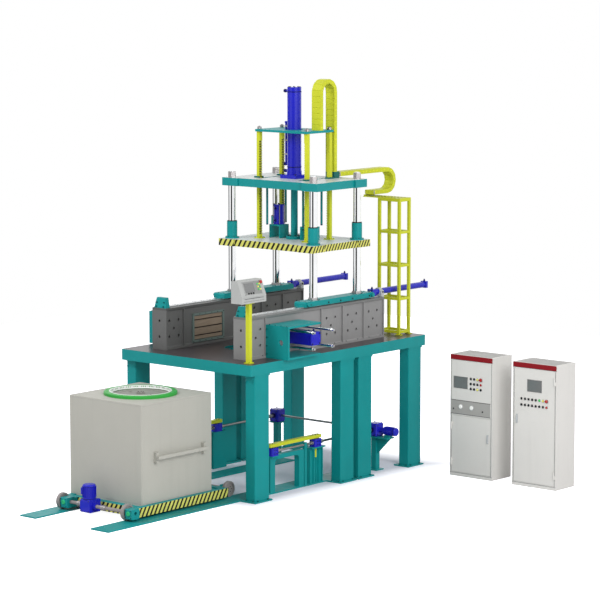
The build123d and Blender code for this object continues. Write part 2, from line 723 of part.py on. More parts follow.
def main_cylinder():
    """The upright cylinder with its flange, cap, port bosses and feed pipe."""
    foot = UPPER_TOP_Z
    half = MAIN_FLANGE_HALF
    wall_x = -MAIN_BORE_R - PORT_R / 2
    body = block(-half, half, -half, half, foot, foot + MAIN_FLANGE)
    body += rod_z(MAIN_CYL_R, foot + MAIN_FLANGE, MAIN_CYL_TOP_Z, 0, 0)
    body += rod_z(MAIN_CYL_CAP_R, foot + MAIN_FLANGE, foot + MAIN_FLANGE + MAIN_CYL_CAP, 0, 0)
    base = foot + MAIN_FLANGE
    for z in (MAIN_CYL_TOP_Z - MAIN_CYL_CAP, base + PORT_HEIGHTS[0], base + PORT_HEIGHTS[1]):
        body += rod_x(PORT_R, -MAIN_CYL_R - PORT_REACH, wall_x, 0, z)
    pipe_low = base + PORT_HEIGHTS[1]
    body += rod_z(PIPE_R, pipe_low, base + PIPE_TOP, -PIPE_X, 0)
    body += rod_x(PIPE_R, -PIPE_X - PIPE_R, wall_x, 0, base + PIPE_TOP)
    bore_floor = foot + MAIN_FLANGE / 2
    body -= rod_z(MAIN_BORE_R, bore_floor, MAIN_CYL_TOP_Z - 2 * MAIN_CYL_CAP, 0, 0)
    return body - rod_z(MAIN_ROD_R + RUN_GAP, foot, bore_floor, 0, 0)


def main_rod():
    """The rod of the main cylinder with its piston and its flange on the moving platen."""
    top = MAIN_CYL_TOP_Z - 2 * MAIN_CYL_CAP - FREE_GAP
    rod = rod_z(MAIN_ROD_R, MOVING_TOP_Z + ROD_FLANGE, top - MAIN_CYL_CAP, 0, 0)
    rod += rod_z(MAIN_BORE_R - RUN_GAP, top - MAIN_CYL_CAP, top, 0, 0)
    return rod + rod_z(ROD_FLANGE_R, MOVING_TOP_Z, MOVING_TOP_Z + ROD_FLANGE, 0, 0)


def pitch_length():
    """The distance from one tooth to the next along the pitch line."""
    return math.pi * GEAR_MODULE


def pinion_pitch_r():
    """The pitch radius of a pinion."""
    return GEAR_MODULE * PINION_TEETH / 2


def pinion_tip_r():
    """The outer radius of a pinion."""
    return pinion_pitch_r() + RACK_ROOT - TIP_CLEARANCE


def shaft_reach():
    """The distance from the middle of a levelling shaft to its ends."""
    return RACK_HALF_Y + PINION_WIDTH / 2 + FREE_GAP + BEARING_WIDTH


def pinion_x():
    """The distance of a levelling shaft from the centre line."""
    return RACK_HALF_X - RACK_SIDE / 2 + RACK_TIP - pinion_pitch_r()


def sync_z():
    """The height of the levelling shafts."""
    return UPPER_TOP_Z - SYNC_SHAFT_DEPTH


def rack_rod(place):
    """A square rod whose inner side is cut as a rack, in mesh with its pinion."""
    x, y = place
    side = 1 if x > 0 else -1
    half = RACK_SIDE / 2
    face = x - side * half
    first = MOVING_TOP_Z + RACK_RUN_OUT
    last = min(sync_z() + PLATEN_STROKE + RACK_RUN_OUT, CROWN_BOTTOM_Z - GEAR_MODULE)
    slope = math.tan(math.radians(20))
    lowest = math.ceil((first - sync_z()) / pitch_length())
    highest = math.floor((last - sync_z()) / pitch_length())
    pitch_x = face + side * RACK_TIP
    root_x = pitch_x + side * (RACK_ROOT - GEAR_BACKLASH / 4)
    half_pitch = pitch_length() / 4 + GEAR_BACKLASH / 4
    tip_half = half_pitch + slope * RACK_TIP
    root_half = half_pitch - slope * (RACK_ROOT - GEAR_BACKLASH / 4)
    points = [(face, MOVING_TOP_Z)]
    for step in range(lowest, highest + 1):
        z = sync_z() + step * pitch_length()
        points += [(face, z - tip_half), (root_x, z - root_half)]
        points += [(root_x, z + root_half), (face, z + tip_half)]
    back = x + side * half
    points += [(face, CROWN_BOTTOM_Z), (back, CROWN_BOTTOM_Z), (back, MOVING_TOP_Z)]
    outline = Plane.XZ * Polyline(*points, close=True)
    profile = make_face(outline)
    rod = Pos(0, y - half, 0) * extrude(profile, RACK_SIDE, dir=(0, 1, 0))
    foot = RACK_FOOT_HALF
    return rod + block(x - foot, x + foot, y - foot, y + foot, MOVING_TOP_Z, MOVING_TOP_Z + RACK_FOOT)


def pinion_outline():
    """A pinion's outline with true involute flanks, a tooth pointing along +X."""
    pitch_r = pinion_pitch_r()
    pressure = math.radians(20)
    base_r = pitch_r * math.cos(pressure)
    tip_r = pinion_tip_r()
    root_r = pitch_r - RACK_TIP - 1.5
    half_tooth = math.pi / (2 * PINION_TEETH) - GEAR_BACKLASH / (4 * pitch_r)
    at_pitch = math.tan(pressure) - pressure
    radii = [base_r, (base_r + tip_r) / 2, tip_r]
    flank = []
    for radius in radii:
        angle = math.acos(base_r / radius)
        flank.append((radius, half_tooth + at_pitch - (math.tan(angle) - angle)))
    points = []
    for tooth in range(PINION_TEETH):
        centre = 2 * math.pi * tooth / PINION_TEETH
        shape = [(root_r, -flank[0][1])]
        shape += [(radius, -angle) for radius, angle in flank]
        shape += [(radius, angle) for radius, angle in reversed(flank)]
        shape.append((root_r, flank[0][1]))
        for radius, angle in shape:
            points.append((radius * math.cos(centre + angle), radius * math.sin(centre + angle)))
    return points


def sync_shaft(side):
    """A levelling shaft along Y with a pinion beside each rack."""
    x = side * pinion_x()
    shaft = rod_y(SYNC_SHAFT_R, -shaft_reach(), shaft_reach(), x, sync_z())
    profile = make_face(Polyline(*pinion_outline(), close=True))
    for y in (-RACK_HALF_Y, RACK_HALF_Y):
        wheel = Rot(90, 0, 0) * extrude(profile, PINION_WIDTH)
        shaft += Pos(x, y + PINION_WIDTH / 2, sync_z()) * wheel
    return shaft


def rack_guide(place):
    """The low guide round three sides of a rack rod and the two bearings beside its
    pinion, let into the upper platen."""
    x, y = place
    side = 1 if x > 0 else -1
    low = UPPER_TOP_Z
    high = UPPER_TOP_Z + GUIDE_HEIGHT
    cheek = RACK_SIDE / 2 + RUN_GAP
    back = x + side * (cheek + GUIDE_THICKNESS)
    shaft_x = side * pinion_x()
    front = shaft_x + side * (BEARING_HALF + RUN_GAP)
    guide = block(front, back, y - cheek - GUIDE_THICKNESS, y + cheek + GUIDE_THICKNESS, low, high)
    guide -= block(front, x + side * cheek, y - cheek, y + cheek, low, high)
    pieces = [guide]
    for way in SIDES:
        near = y + way * (PINION_WIDTH / 2 + FREE_GAP)
        far = near + way * BEARING_WIDTH
        floor = sync_z() - BEARING_HALF
        bearing = block(shaft_x - BEARING_HALF, shaft_x + BEARING_HALF, near, far, floor, low)
        pieces.append(bearing - rod_y(SYNC_SHAFT_R + RUN_GAP, near, far, shaft_x, sync_z()))
    return pieces


def crown_plate():
    """The thin plate that joins the tops of the four rack rods."""
    plate = block(-CROWN_HALF_X, CROWN_HALF_X, -CROWN_HALF_Y, CROWN_HALF_Y, CROWN_BOTTOM_Z, CROWN_TOP_Z)
    slot_x = MAIN_CYL_R + PORT_REACH + 2 * FREE_GAP
    slot_y = PORT_R + 2 * FREE_GAP
    plate -= block(-slot_x, 0, -slot_y, slot_y, CROWN_BOTTOM_Z, CROWN_TOP_Z)
    return plate - rod_z(CROWN_HOLE_R, CROWN_BOTTOM_Z, CROWN_TOP_Z, 0, 0)


def stop_rod(place):
    """A knock-out rod with its flange under the upper platen."""
    x, y = place
    rod = rod_z(STOP_ROD_R, STOP_ROD_BOTTOM_Z, UPPER_BOTTOM_Z, x, y)
    return rod + rod_z(STOP_ROD_FLANGE_R, UPPER_BOTTOM_Z - STOP_ROD_FLANGE, UPPER_BOTTOM_Z, x, y)


def ejector_stand(side):
    """The two-legged stand that holds an ejector cylinder over the platen."""
    x = side * EJECTOR_X
    half_x = EJECTOR_STAND_LENGTH / 2
    half_y = EJECTOR_STAND_WIDTH / 2
    low = MOVING_TOP_Z
    high = low + EJECTOR_STAND_HEIGHT
    stand = block(x - half_x, x + half_x, -half_y, half_y, high, high + EJECTOR_TOP_PLATE)
    for way in SIDES:
        outer = x + way * half_x
        stand += block(outer, outer - way * EJECTOR_STAND_WALL, -half_y, half_y, low, high)
    return stand


def ejector_cylinder(side):
    """An ejector cylinder with its two caps and its rod to the platen."""
    x = side * EJECTOR_X
    foot = MOVING_TOP_Z + EJECTOR_STAND_HEIGHT + EJECTOR_TOP_PLATE
    body = rod_z(EJECTOR_CYL_R, foot, foot + EJECTOR_CYL_HEIGHT, x, 0)
    for z in (foot, foot + EJECTOR_CYL_HEIGHT - EJECTOR_CAP):
        body += rod_z(EJECTOR_CAP_R, z, z + EJECTOR_CAP, x, 0)
    return body


def rear_cylinder(side):
    """A long cylinder behind a rail, with its square head at the front."""
    x = side * RAIL_CENTRE_X
    head_end = PUSH_CYL_FRONT_Y + PUSH_HEAD
    half = PUSH_HEAD_HALF
    low = PUSH_AXIS_Z - half + PUSH_CYL_R / 8
    body = block(x - half, x + half, PUSH_CYL_FRONT_Y, head_end, low, PUSH_AXIS_Z + half)
    body += rod_y(PUSH_CYL_R, head_end, PUSH_CYL_END_Y, x, PUSH_AXIS_Z)
    cap_y = PUSH_CYL_END_Y - 2 * PUSH_CAP
    body += block(x - half, x + half, cap_y, PUSH_CYL_END_Y, PUSH_AXIS_Z - half, PUSH_AXIS_Z + half)
    body -= rod_y(PUSH_BORE_R, head_end, PUSH_CYL_END_Y - PUSH_CAP, x, PUSH_AXIS_Z)
    return body - rod_y(PUSH_ROD_R + RUN_GAP, PUSH_CYL_FRONT_Y, head_end, x, PUSH_AXIS_Z)


def trunnion(side):
    """The ring and foot that hold a rear cylinder on the rail's end."""
    x = side * RAIL_CENTRE_X
    low = RAIL_TOP_Z
    front = TRUNNION_Y - TRUNNION_WIDTH / 2
    rear = TRUNNION_Y + TRUNNION_WIDTH / 2
    reach = 1.4 * TRUNNION_R
    ring = rod_y(TRUNNION_R, front, rear, x, PUSH_AXIS_Z)
    ring += rod_x(TRUNNION_R / 2, x - reach, x + reach, TRUNNION_Y, PUSH_AXIS_Z)
    foot = block(x - reach, x + reach, RAIL_REAR_Y, rear, low - TRUNNION_FOOT_DROP, PUSH_AXIS_Z)
    return (ring + foot) - rod_y(PUSH_CYL_R + RUN_GAP, RAIL_REAR_Y, rear, x, PUSH_AXIS_Z)


def push_rod(side):
    """The rod of a rear cylinder, fast on the carriage's rear end."""
    x = side * RAIL_CENTRE_X
    end = PUSH_CYL_FRONT_Y + PUSH_HEAD + CARRIAGE_STROKE + PUSH_PISTON + 2 * FREE_GAP
    rod = rod_y(PUSH_ROD_R, CARRIAGE_REAR_Y, end - PUSH_PISTON, x, PUSH_AXIS_Z)
    return rod + rod_y(PUSH_BORE_R - RUN_GAP, end - PUSH_PISTON, end, x, PUSH_AXIS_Z)


def chain_points(path, offset):
    """Points of one side of a chain: straight runs with a notch between links."""
    points = []
    length = path.length
    count = int(length // CHAIN_PITCH)
    pitch = length / count
    for step in range(count + 1):
        middle = step * pitch
        for shift, depth in ((-CHAIN_NOTCH / 2, 0), (0, CHAIN_NOTCH_DEPTH), (CHAIN_NOTCH / 2, 0)):
            along = middle + shift
            if along < 0 or along > length:
                continue
            spot = path.position_at(along / length)
            tangent = path.tangent_at(along / length)
            across = Vector(-tangent.Y, tangent.X)
            reach = offset - math.copysign(depth, offset)
            points.append((spot.X + across.X * reach, spot.Y + across.Y * reach))
    return points


def chain_body(path, plane):
    """A drag chain: the band along a path, notched between its links."""
    half = CHAIN_HEIGHT / 2
    near = chain_points(path, half)
    far = chain_points(path, -half)
    start = path.position_at(0)
    end = path.position_at(1)
    start_dir = path.tangent_at(0)
    end_dir = path.tangent_at(1)
    near[0] = (start.X - start_dir.Y * half, start.Y + start_dir.X * half)
    far[0] = (start.X + start_dir.Y * half, start.Y - start_dir.X * half)
    near[-1] = (end.X - end_dir.Y * half, end.Y + end_dir.X * half)
    far[-1] = (end.X + end_dir.Y * half, end.Y - end_dir.X * half)
    outline = Polyline(*(near + list(reversed(far))), close=True)
    face = plane * make_face(outline)
    return extrude(face, CHAIN_WIDTH / 2, both=True)


def chain_plane():
    """The upright plane along Y in which both chains lie: its X is +Y and its Y is +Z."""
    return Plane(origin=(CHAIN_X, 0, 0), x_dir=(0, 1, 0), z_dir=(1, 0, 0))


def crown_chain():
    """The upright chain: from the crown plate over its loop and down to the upper platen."""
    radius = (CROWN_CHAIN_BACK_Y - CROWN_CHAIN_FRONT_Y) / 2
    centre_z = CROWN_TOP_Z + CROWN_CHAIN_STRAIGHT
    front = Line((CROWN_CHAIN_FRONT_Y, CROWN_TOP_Z), (CROWN_CHAIN_FRONT_Y, centre_z))
    middle_y = (CROWN_CHAIN_FRONT_Y + CROWN_CHAIN_BACK_Y) / 2
    loop = ThreePointArc(front @ 1, (middle_y, centre_z + radius), (CROWN_CHAIN_BACK_Y, centre_z))
    back = Line(loop @ 1, (CROWN_CHAIN_BACK_Y, UPPER_TOP_Z + CHAIN_BRACKET_HEIGHT))
    path = Wire([front, loop, back])
    return chain_body(path, chain_plane())


def platen_chain():
    """The level chain: from the upper platen's bracket round its loop to the tower's tray."""
    radius = (UPPER_RUN_Z - LOWER_RUN_Z) / 2
    centre_y = CHAIN_REAR_Y - CHAIN_HEIGHT / 2 - radius
    middle_z = (UPPER_RUN_Z + LOWER_RUN_Z) / 2
    upper = Line((UPPER_RUN_START_Y, UPPER_RUN_Z), (centre_y, UPPER_RUN_Z))
    loop = ThreePointArc(upper @ 1, (centre_y + radius, middle_z), (centre_y, LOWER_RUN_Z))
    lower = Line(loop @ 1, (LOWER_RUN_START_Y, LOWER_RUN_Z))
    path = Wire([upper, loop, lower])
    return chain_body(path, chain_plane())


def chain_bracket():
    """The bracket on the upper platen that holds the ends of both chains."""
    half = CHAIN_WIDTH / 2
    front = CROWN_CHAIN_BACK_Y - CHAIN_HEIGHT / 2
    rear = UPPER_RUN_START_Y
    low = UPPER_TOP_Z
    high = UPPER_TOP_Z + CHAIN_BRACKET_HEIGHT
    bracket = block(CHAIN_X - half, CHAIN_X + half, front, rear, low, high)
    top_edges = bracket.edges().filter_by(Axis.X).group_by(Axis.Z)[-1]
    return fillet(top_edges.sort_by(Axis.Y)[-1], CHAIN_NOTCH / 2)


def chain_tower():
    """The lattice tower of square tubes beside a rear cylinder, with the chain's tray."""
    half = TOWER_POST / 2
    tower = []
    for x in (TOWER_X_LEFT, TOWER_X_RIGHT):
        for y in (TOWER_Y_FRONT, TOWER_Y_REAR):
            tower.append(block(x - half, x + half, y - half, y + half, PLATE_TOP_Z, TOWER_TOP_Z))
    for step in range(TOWER_RUNGS):
        z = min(TOWER_FIRST_RUNG_Z + TOWER_RUNG_PITCH * step, TOWER_TOP_Z - half)
        for y in (TOWER_Y_FRONT, TOWER_Y_REAR):
            tower.append(block(TOWER_X_LEFT, TOWER_X_RIGHT, y - half, y + half, z - half, z + half))
        for x in (TOWER_X_LEFT, TOWER_X_RIGHT):
            tower.append(block(x - half, x + half, TOWER_Y_FRONT, TOWER_Y_REAR, z - half, z + half))
    return tower[0].fuse(*tower[1:])


def chain_tray():
    """The lipped tray on the tower, under the chain's lower run."""
    half = TOWER_POST / 2
    front = LOWER_RUN_START_Y
    rear = TOWER_Y_REAR + half
    floor = TOWER_TOP_Z
    wall = TRAY_THICKNESS
    chain_side = TRAY_LEFT_X + 2 * (CHAIN_X - TRAY_LEFT_X)
    tray = block(TRAY_LEFT_X, TOWER_X_RIGHT + half, TOWER_Y_FRONT - half, rear, floor, floor + wall)
    tray += block(TRAY_LEFT_X, chain_side, front, rear, floor, floor + wall)
    tray += block(TRAY_LEFT_X, TRAY_LEFT_X + wall, front, rear, floor, floor + TRAY_LIP)
    return tray


def console_post():
    """The square post of the operator console, with its foot plate."""
    half = CONSOLE_POST_SIDE / 2
    x = CONSOLE_POST_X
    y = CONSOLE_POST_Y
    post = block(x - half, x + half, y - half, y + half, PLATE_TOP_Z, CONSOLE_BOTTOM_Z)
    foot_half = 1.6 * half
    return post + pillar(x, y, foot_half, foot_half, PLATE_TOP_Z, PLATE_TOP_Z + COLUMN_CAP / 2)


def console():
    """The desk-shaped console housing, its sloped face towards +X."""
    x0 = CONSOLE_POST_X - CONSOLE_DEPTH / 2
    y = CONSOLE_POST_Y
    low = CONSOLE_BOTTOM_Z
    high = CONSOLE_BOTTOM_Z + CONSOLE_HEIGHT
    points = [
        (x0, low),
        (x0 + CONSOLE_DEPTH, low),
        (x0 + CONSOLE_DEPTH, low + CONSOLE_NOSE),
        (x0 + CONSOLE_TOP_DEPTH, high),
        (x0, high),
    ]
    face = make_face(Plane.XZ * Polyline(*points, close=True))
    body = Pos(0, y - CONSOLE_WIDTH / 2, 0) * extrude(face, CONSOLE_WIDTH, dir=(0, 1, 0))
    return body


def track_x(side):
    """The X place of a side's wheels; the left track lies nearer the middle, as in the photo."""
    return WHEEL_X if side > 0 else LEFT_TRACK_INSET - WHEEL_X


def floor_rail(side):
    """A flat floor rail for the trolley; the right one is wide enough for the lift's stands too."""
    inner = FLOOR_RAIL_INNER_X
    outer = FLOOR_RAIL_OUTER_X
    if side < 0:
        inner = track_x(side) - LEFT_FLOOR_RAIL_WIDTH / 2
        outer = inner + LEFT_FLOOR_RAIL_WIDTH
    return block(inner, outer, FLOOR_RAIL_FRONT_Y, FLOOR_RAIL_REAR_Y, 0, FLOOR_RAIL_HEIGHT)


def trolley_frame():
    """The trolley's ring of beams, its left one cut down under the furnace, and the deck."""
    low = TROLLEY_BEAM_BOTTOM_Z
    high = low + TROLLEY_BEAM_HEIGHT
    width = TROLLEY_BEAM_WIDTH
    left = LEFT_TRACK_INSET - TROLLEY_HALF_X
    right = TROLLEY_HALF_X
    front = TROLLEY_FRONT_Y + width
    rear = TROLLEY_REAR_Y - width
    frame = block(left, right, TROLLEY_FRONT_Y, TROLLEY_REAR_Y, low, high)
    frame -= block(left + width, right - width, front, rear, low, high)
    deck_top = high - TROLLEY_DECK
    seat_front = FURNACE_FRONT_Y - FREE_GAP
    seat_rear = FURNACE_REAR_Y + FREE_GAP
    frame -= block(left, left + width, seat_front, seat_rear, deck_top, high)
    return frame + block(left + width, right - width, front, rear, deck_top - TROLLEY_DECK, deck_top)


def furnace_floor_z():
    """The height of the deck on which the furnace stands."""
    return TROLLEY_BEAM_BOTTOM_Z + TROLLEY_BEAM_HEIGHT - TROLLEY_DECK


def furnace_centre_y():
    """The Y place of the furnace's centre."""
    return (FURNACE_FRONT_Y + FURNACE_REAR_Y) / 2


def furnace():
    """The furnace housing with its round pocket and its side bars."""
    body = block(
        -FURNACE_HALF_X, FURNACE_HALF_X, FURNACE_FRONT_Y, FURNACE_REAR_Y, furnace_floor_z(), FURNACE_TOP_Z
    )
    body = chamfer(body.edges().filter_by(Axis.Z), FURNACE_EDGE)
    pocket_z = FURNACE_TOP_Z - FURNACE_POCKET_DEPTH
    body -= rod_z(FURNACE_POCKET_R, pocket_z, FURNACE_TOP_Z, 0, furnace_centre_y())
    for side in SIDES:
        wall = side * FURNACE_HALF_X
        tip = wall + side * LUG_REACH
        back = tip - side * LUG_BAR_DEPTH
        low = LUG_BAR_Z - LUG_BAR_HEIGHT / 2
        body += block(tip, back, LUG_BAR_FRONT_Y, LUG_BAR_REAR_Y, low, low + LUG_BAR_HEIGHT)
        low = LUG_BAR_Z - LUG_HEIGHT / 2
        for y in (LUG_BAR_FRONT_Y, LUG_BAR_REAR_Y - LUG_WIDTH):
            body += block(wall, back, y, y + LUG_WIDTH, low, low + LUG_HEIGHT)
    return body


def furnace_ring():
    """The flanged ring round the furnace's mouth."""
    y = furnace_centre_y()
    ring = rod_z(RING_R, FURNACE_TOP_Z, FURNACE_TOP_Z + RING_HEIGHT, 0, y)
    ring = chamfer(ring.edges().group_by(Axis.Z)[-1], RING_HEIGHT / 4)
    return ring - rod_z(RING_BORE_R, FURNACE_TOP_Z, FURNACE_TOP_Z + RING_HEIGHT, 0, y)


def furnace_lid():
    """The lid that closes the mouth inside the ring."""
    y = furnace_centre_y()
    low = FURNACE_TOP_Z - FURNACE_POCKET_DEPTH
    lid = rod_z(RING_BORE_R - FREE_GAP, low, FURNACE_TOP_Z, 0, y)
    return lid + rod_z(LID_KNOB_R, FURNACE_TOP_Z, FURNACE_TOP_Z + LID_THICKNESS / 2, 0, y)


def wheel_places():
    """The X side and Y place of the four trolley wheels."""
    return [(side, y) for side in SIDES for y in (FRONT_AXLE_Y, REAR_AXLE_Y)]


def axle_z():
    """The height of the trolley's axles."""
    return FLOOR_RAIL_HEIGHT + WHEEL_R + RUN_GAP


def wheel_housing(place):
    """The bearing box beside a wheel: on its right in front, inside it behind."""
    side, y = place
    z = axle_z()
    in_front = y < furnace_centre_y()
    way = 1 if in_front else -side
    width = HOUSING_WIDTH if in_front else REAR_HOUSING_WIDTH
    near = track_x(side) + way * (WHEEL_WIDTH / 2 + FREE_GAP)
    far = near + way * width
    low = TROLLEY_BEAM_BOTTOM_Z
    high = low + TROLLEY_BEAM_HEIGHT + TROLLEY_DECK
    housing = block(near, far, y - HOUSING_HALF_Y, y + HOUSING_HALF_Y, low, high)
    housing = chamfer(housing.edges().filter_by(Axis.X), HOUSING_HALF_Y / 6)
    end = TROLLEY_FRONT_Y if in_front else TROLLEY_REAR_Y
    reach = min(far, TROLLEY_HALF_X)
    housing += block(near, reach, y, end, low, low + TROLLEY_BEAM_HEIGHT)
    return housing - rod_x(AXLE_R + RUN_GAP, near, far, y, z)


def wheel_pair(y):
    """An axle with its two wheels, each turned with a rim and a hub."""
    z = axle_z()
    reach = WHEEL_WIDTH / 2 + FREE_GAP
    right = track_x(1) + reach
    if y < furnace_centre_y():
        right += HOUSING_WIDTH / 2
    axle = rod_x(AXLE_R, track_x(-1) - reach, right, y, z)
    for side in SIDES:
        inner = track_x(side) - side * WHEEL_WIDTH / 2
        outer = track_x(side) + side * WHEEL_WIDTH / 2
        wheel = rod_x(WHEEL_R, inner, outer, y, z)
        wheel = chamfer(wheel.edges(), FREE_GAP)
        face = side * WHEEL_WIDTH / 5
        for start, end in ((inner, inner + face), (outer - face, outer)):
            dish = rod_x(WHEEL_R * 0.78, start, end, y, z) - rod_x(WHEEL_R * 0.42, start, end, y, z)
            wheel -= dish
        axle += wheel
    return axle


def trolley_motor():
    """The upright geared motor on the front axle."""
    half = TROLLEY_GEAR_HALF
    z = axle_z()
    x = TROLLEY_MOTOR_X
    gear_top = z + half
    gear = block(x - half, x + half, FRONT_AXLE_Y - half, TROLLEY_FRONT_Y, z - half, gear_top)
    gear = chamfer(gear.edges().filter_by(Axis.X), half / 6)
    boss = half / 2
    gear += rod_x(boss, x - half - boss, x + half + boss, FRONT_AXLE_Y, z)
    gear -= rod_x(AXLE_R + RUN_GAP, x - 2 * half, x + 2 * half, FRONT_AXLE_Y, z)
    motor = rod_z(TROLLEY_MOTOR_R, gear_top, gear_top + TROLLEY_MOTOR_HEIGHT, x, FRONT_AXLE_Y)
    motor = fillet(motor.edges().group_by(Axis.Z)[-1], TROLLEY_MOTOR_R / 4)
    box_x = x - TROLLEY_MOTOR_R * 1.3
    box_z = gear_top + TROLLEY_MOTOR_HEIGHT / 2
    box = block(box_x, x, FRONT_AXLE_Y - boss, FRONT_AXLE_Y + boss, box_z - boss, box_z + boss)
    return gear + motor + box


def lift_places():
    """The X side and Y place of the four screw jacks."""
    return [(side, y) for side in SIDES for y in (LIFT_FRONT_Y, LIFT_REAR_Y)]


def jack_top_z():
    """The height of the top of a screw jack."""
    return LIFT_BEAM_Z - JACK_GAP_BELOW_BEAM


def shaft_z():
    """The height of the lifting drive's shafts."""
    return jack_top_z() - JACK_HEIGHT / 2


def lift_beams(side):
    """A lifting beam on the screws of two jacks."""
    x = side * LIFT_X
    half = LIFT_BEAM_WIDTH / 2
    front = LIFT_FRONT_Y - LIFT_BEAM_OVERHANG
    rear = LIFT_REAR_Y + LIFT_BEAM_OVERHANG
    beam = block(x - half, x + half, front, rear, LIFT_BEAM_Z, LIFT_BEAM_Z + LIFT_BEAM_HEIGHT)
    for y in (LIFT_FRONT_Y, LIFT_REAR_Y):
        beam += rod_z(LIFT_SCREW_R, jack_top_z() - JACK_HEIGHT - LIFT_STROKE, LIFT_BEAM_Z, x, y)
        beam += rod_z(2 * LIFT_SCREW_R, jack_top_z() + RUN_GAP, LIFT_BEAM_Z, x, y)
    return beam


def screw_jack(place):
    """The gearbox of a screw jack, bored for its screw."""
    side, y = place
    x = side * LIFT_X
    top = jack_top_z()
    low = top - JACK_HEIGHT
    half_x = JACK_SIDE_X / 2
    half_y = JACK_SIDE_Y / 2
    jack = block(x - half_x, x + half_x, y - half_y, y + half_y, low, top)
    jack = chamfer(jack.edges().filter_by(Axis.Z), JACK_SIDE_X / 8)
    return jack - rod_z(LIFT_SCREW_R + RUN_GAP, low, top, x, y)


def stand_face(side):
    """The inner and outer X of the stands under the jacks."""
    return side * (LIFT_X - STAND_SIDE_X / 2), side * FLOOR_RAIL_OUTER_X


def stand_floor(side):
    """Where a side's stands start: on the right floor rail, or on the floor on the left."""
    return FLOOR_RAIL_HEIGHT if side > 0 else 0


def front_stand(side):
    """The arched portal under a front jack: two legs, a beam and a wide top plate."""
    inner, outer = stand_face(side)
    x = side * LIFT_X
    top = jack_top_z() - JACK_HEIGHT
    half_x = STAND_SIDE_X / 2
    front = LIFT_FRONT_Y - JACK_SIDE_Y / 2
    floor = stand_floor(side)
    stand = block(inner, outer, front, PORTAL_REAR_Y, floor, top)
    arch = block(inner, outer, front + STAND_LEG, PORTAL_REAR_Y - STAND_LEG, floor, top - PORTAL_TOP)
    arch = fillet(arch.edges().filter_by(Axis.X).group_by(Axis.Z)[-1], PORTAL_ARCH_R)
    stand -= arch
    stand += block(x - half_x, x + half_x, front, front + JACK_SIDE_Y, top - STAND_PLATE, top)
    return stand - rod_z(LIFT_SCREW_R + RUN_GAP, floor, top, x, LIFT_FRONT_Y)


def rear_stand(side):
    """The ribbed box stand under a rear jack."""
    inner, outer = stand_face(side)
    x = side * LIFT_X
    top = jack_top_z() - JACK_HEIGHT
    half_x = STAND_SIDE_X / 2
    half_y = STAND_SIDE_Y / 2
    y = LIFT_REAR_Y
    floor = stand_floor(side)
    stand = block(inner, outer - side * STAND_PLATE, y - half_y, y + half_y, floor, top - STAND_PLATE)
    for step in (-1.0, -0.4, 0.4, 1.0):
        rib = y + step * (half_y - STAND_PLATE / 2)
        stand += block(inner, outer, rib - STAND_PLATE / 2, rib + STAND_PLATE / 2, floor, top - STAND_PLATE)
    stand += block(x - half_x, x + half_x, y - half_y, y + half_y, top - STAND_PLATE, top)
    return stand - rod_z(LIFT_SCREW_R + RUN_GAP, floor, top, x, y)


def bevel_box(side):
    """A bevel gearbox at the rear end of a lifting line."""
    x = side * LIFT_X
    half = BEVEL_SIDE / 2
    z = shaft_z()
    box = pillar(x, BEVEL_Y, half, half, z - BEVEL_HEIGHT / 2, z + BEVEL_HEIGHT / 2)
    return chamfer(box.edges(), BEVEL_SIDE / 12)


def bevel_stand(side):
    """The narrow stand under a bevel gearbox; the right one's shelf also bears the motor."""
    x = side * LIFT_X
    half = BEVEL_SIDE / 2
    top = shaft_z() - BEVEL_HEIGHT / 2
    shelf = x + half
    if side > 0:
        shelf += LIFT_MOTOR_NECK + LIFT_MOTOR_LENGTH / 2
    stand = block(x - half, shelf, BEVEL_Y - half, BEVEL_Y + half, top - STAND_PLATE, top)
    stand += pillar(x, BEVEL_Y, half / 2, half / 2, STAND_PLATE, top - STAND_PLATE)
    stand += pillar(x, BEVEL_Y, half, half, 0, STAND_PLATE)
    if side > 0:
        high = top - STAND_PLATE
        low = high - (shelf - x - half / 2)
        points = [(x + half / 2, low), (shelf, high), (x + half / 2, high)]
        gusset = make_face(Plane.XZ * Polyline(*points, close=True))
        stand += Pos(0, BEVEL_Y - SHELF_GUSSET / 2, 0) * extrude(gusset, SHELF_GUSSET, dir=(0, 1, 0))
        saddle = shelf - LIFT_MOTOR_LENGTH / 2 + STAND_PLATE
        stand += block(
            saddle, shelf, BEVEL_Y - half / 2, BEVEL_Y + half / 2, top, shaft_z() - LIFT_MOTOR_R
        )
    return stand


def lift_shafts():
    """The three spans of drive shaft on each side and the cross shaft behind."""
    z = shaft_z()
    reach = JACK_SIDE_Y / 2
    pieces = []
    for side in SIDES:
        x = side * LIFT_X
        pieces.append(rod_y(LIFT_SHAFT_R, LIFT_FRONT_Y + reach, LIFT_REAR_Y - reach, x, z))
        pieces.append(rod_y(LIFT_SHAFT_R, LIFT_REAR_Y + reach, BEVEL_Y - BEVEL_SIDE / 2, x, z))
    inner = LIFT_X - BEVEL_SIDE / 2
    pieces.append(rod_x(LIFT_SHAFT_R, -inner, inner, BEVEL_Y, z))
    return pieces


def lift_motor():
    """The motor beside the right bevel gearbox, on its neck."""
    z = shaft_z()
    start = LIFT_X + BEVEL_SIDE / 2
    body = start + LIFT_MOTOR_NECK
    motor = rod_x(LIFT_MOTOR_NECK_R, start, body, BEVEL_Y, z)
    shell = rod_x(LIFT_MOTOR_R, body, body + LIFT_MOTOR_LENGTH, BEVEL_Y, z)
    return motor + chamfer(shell.edges(), LIFT_MOTOR_R / 8)


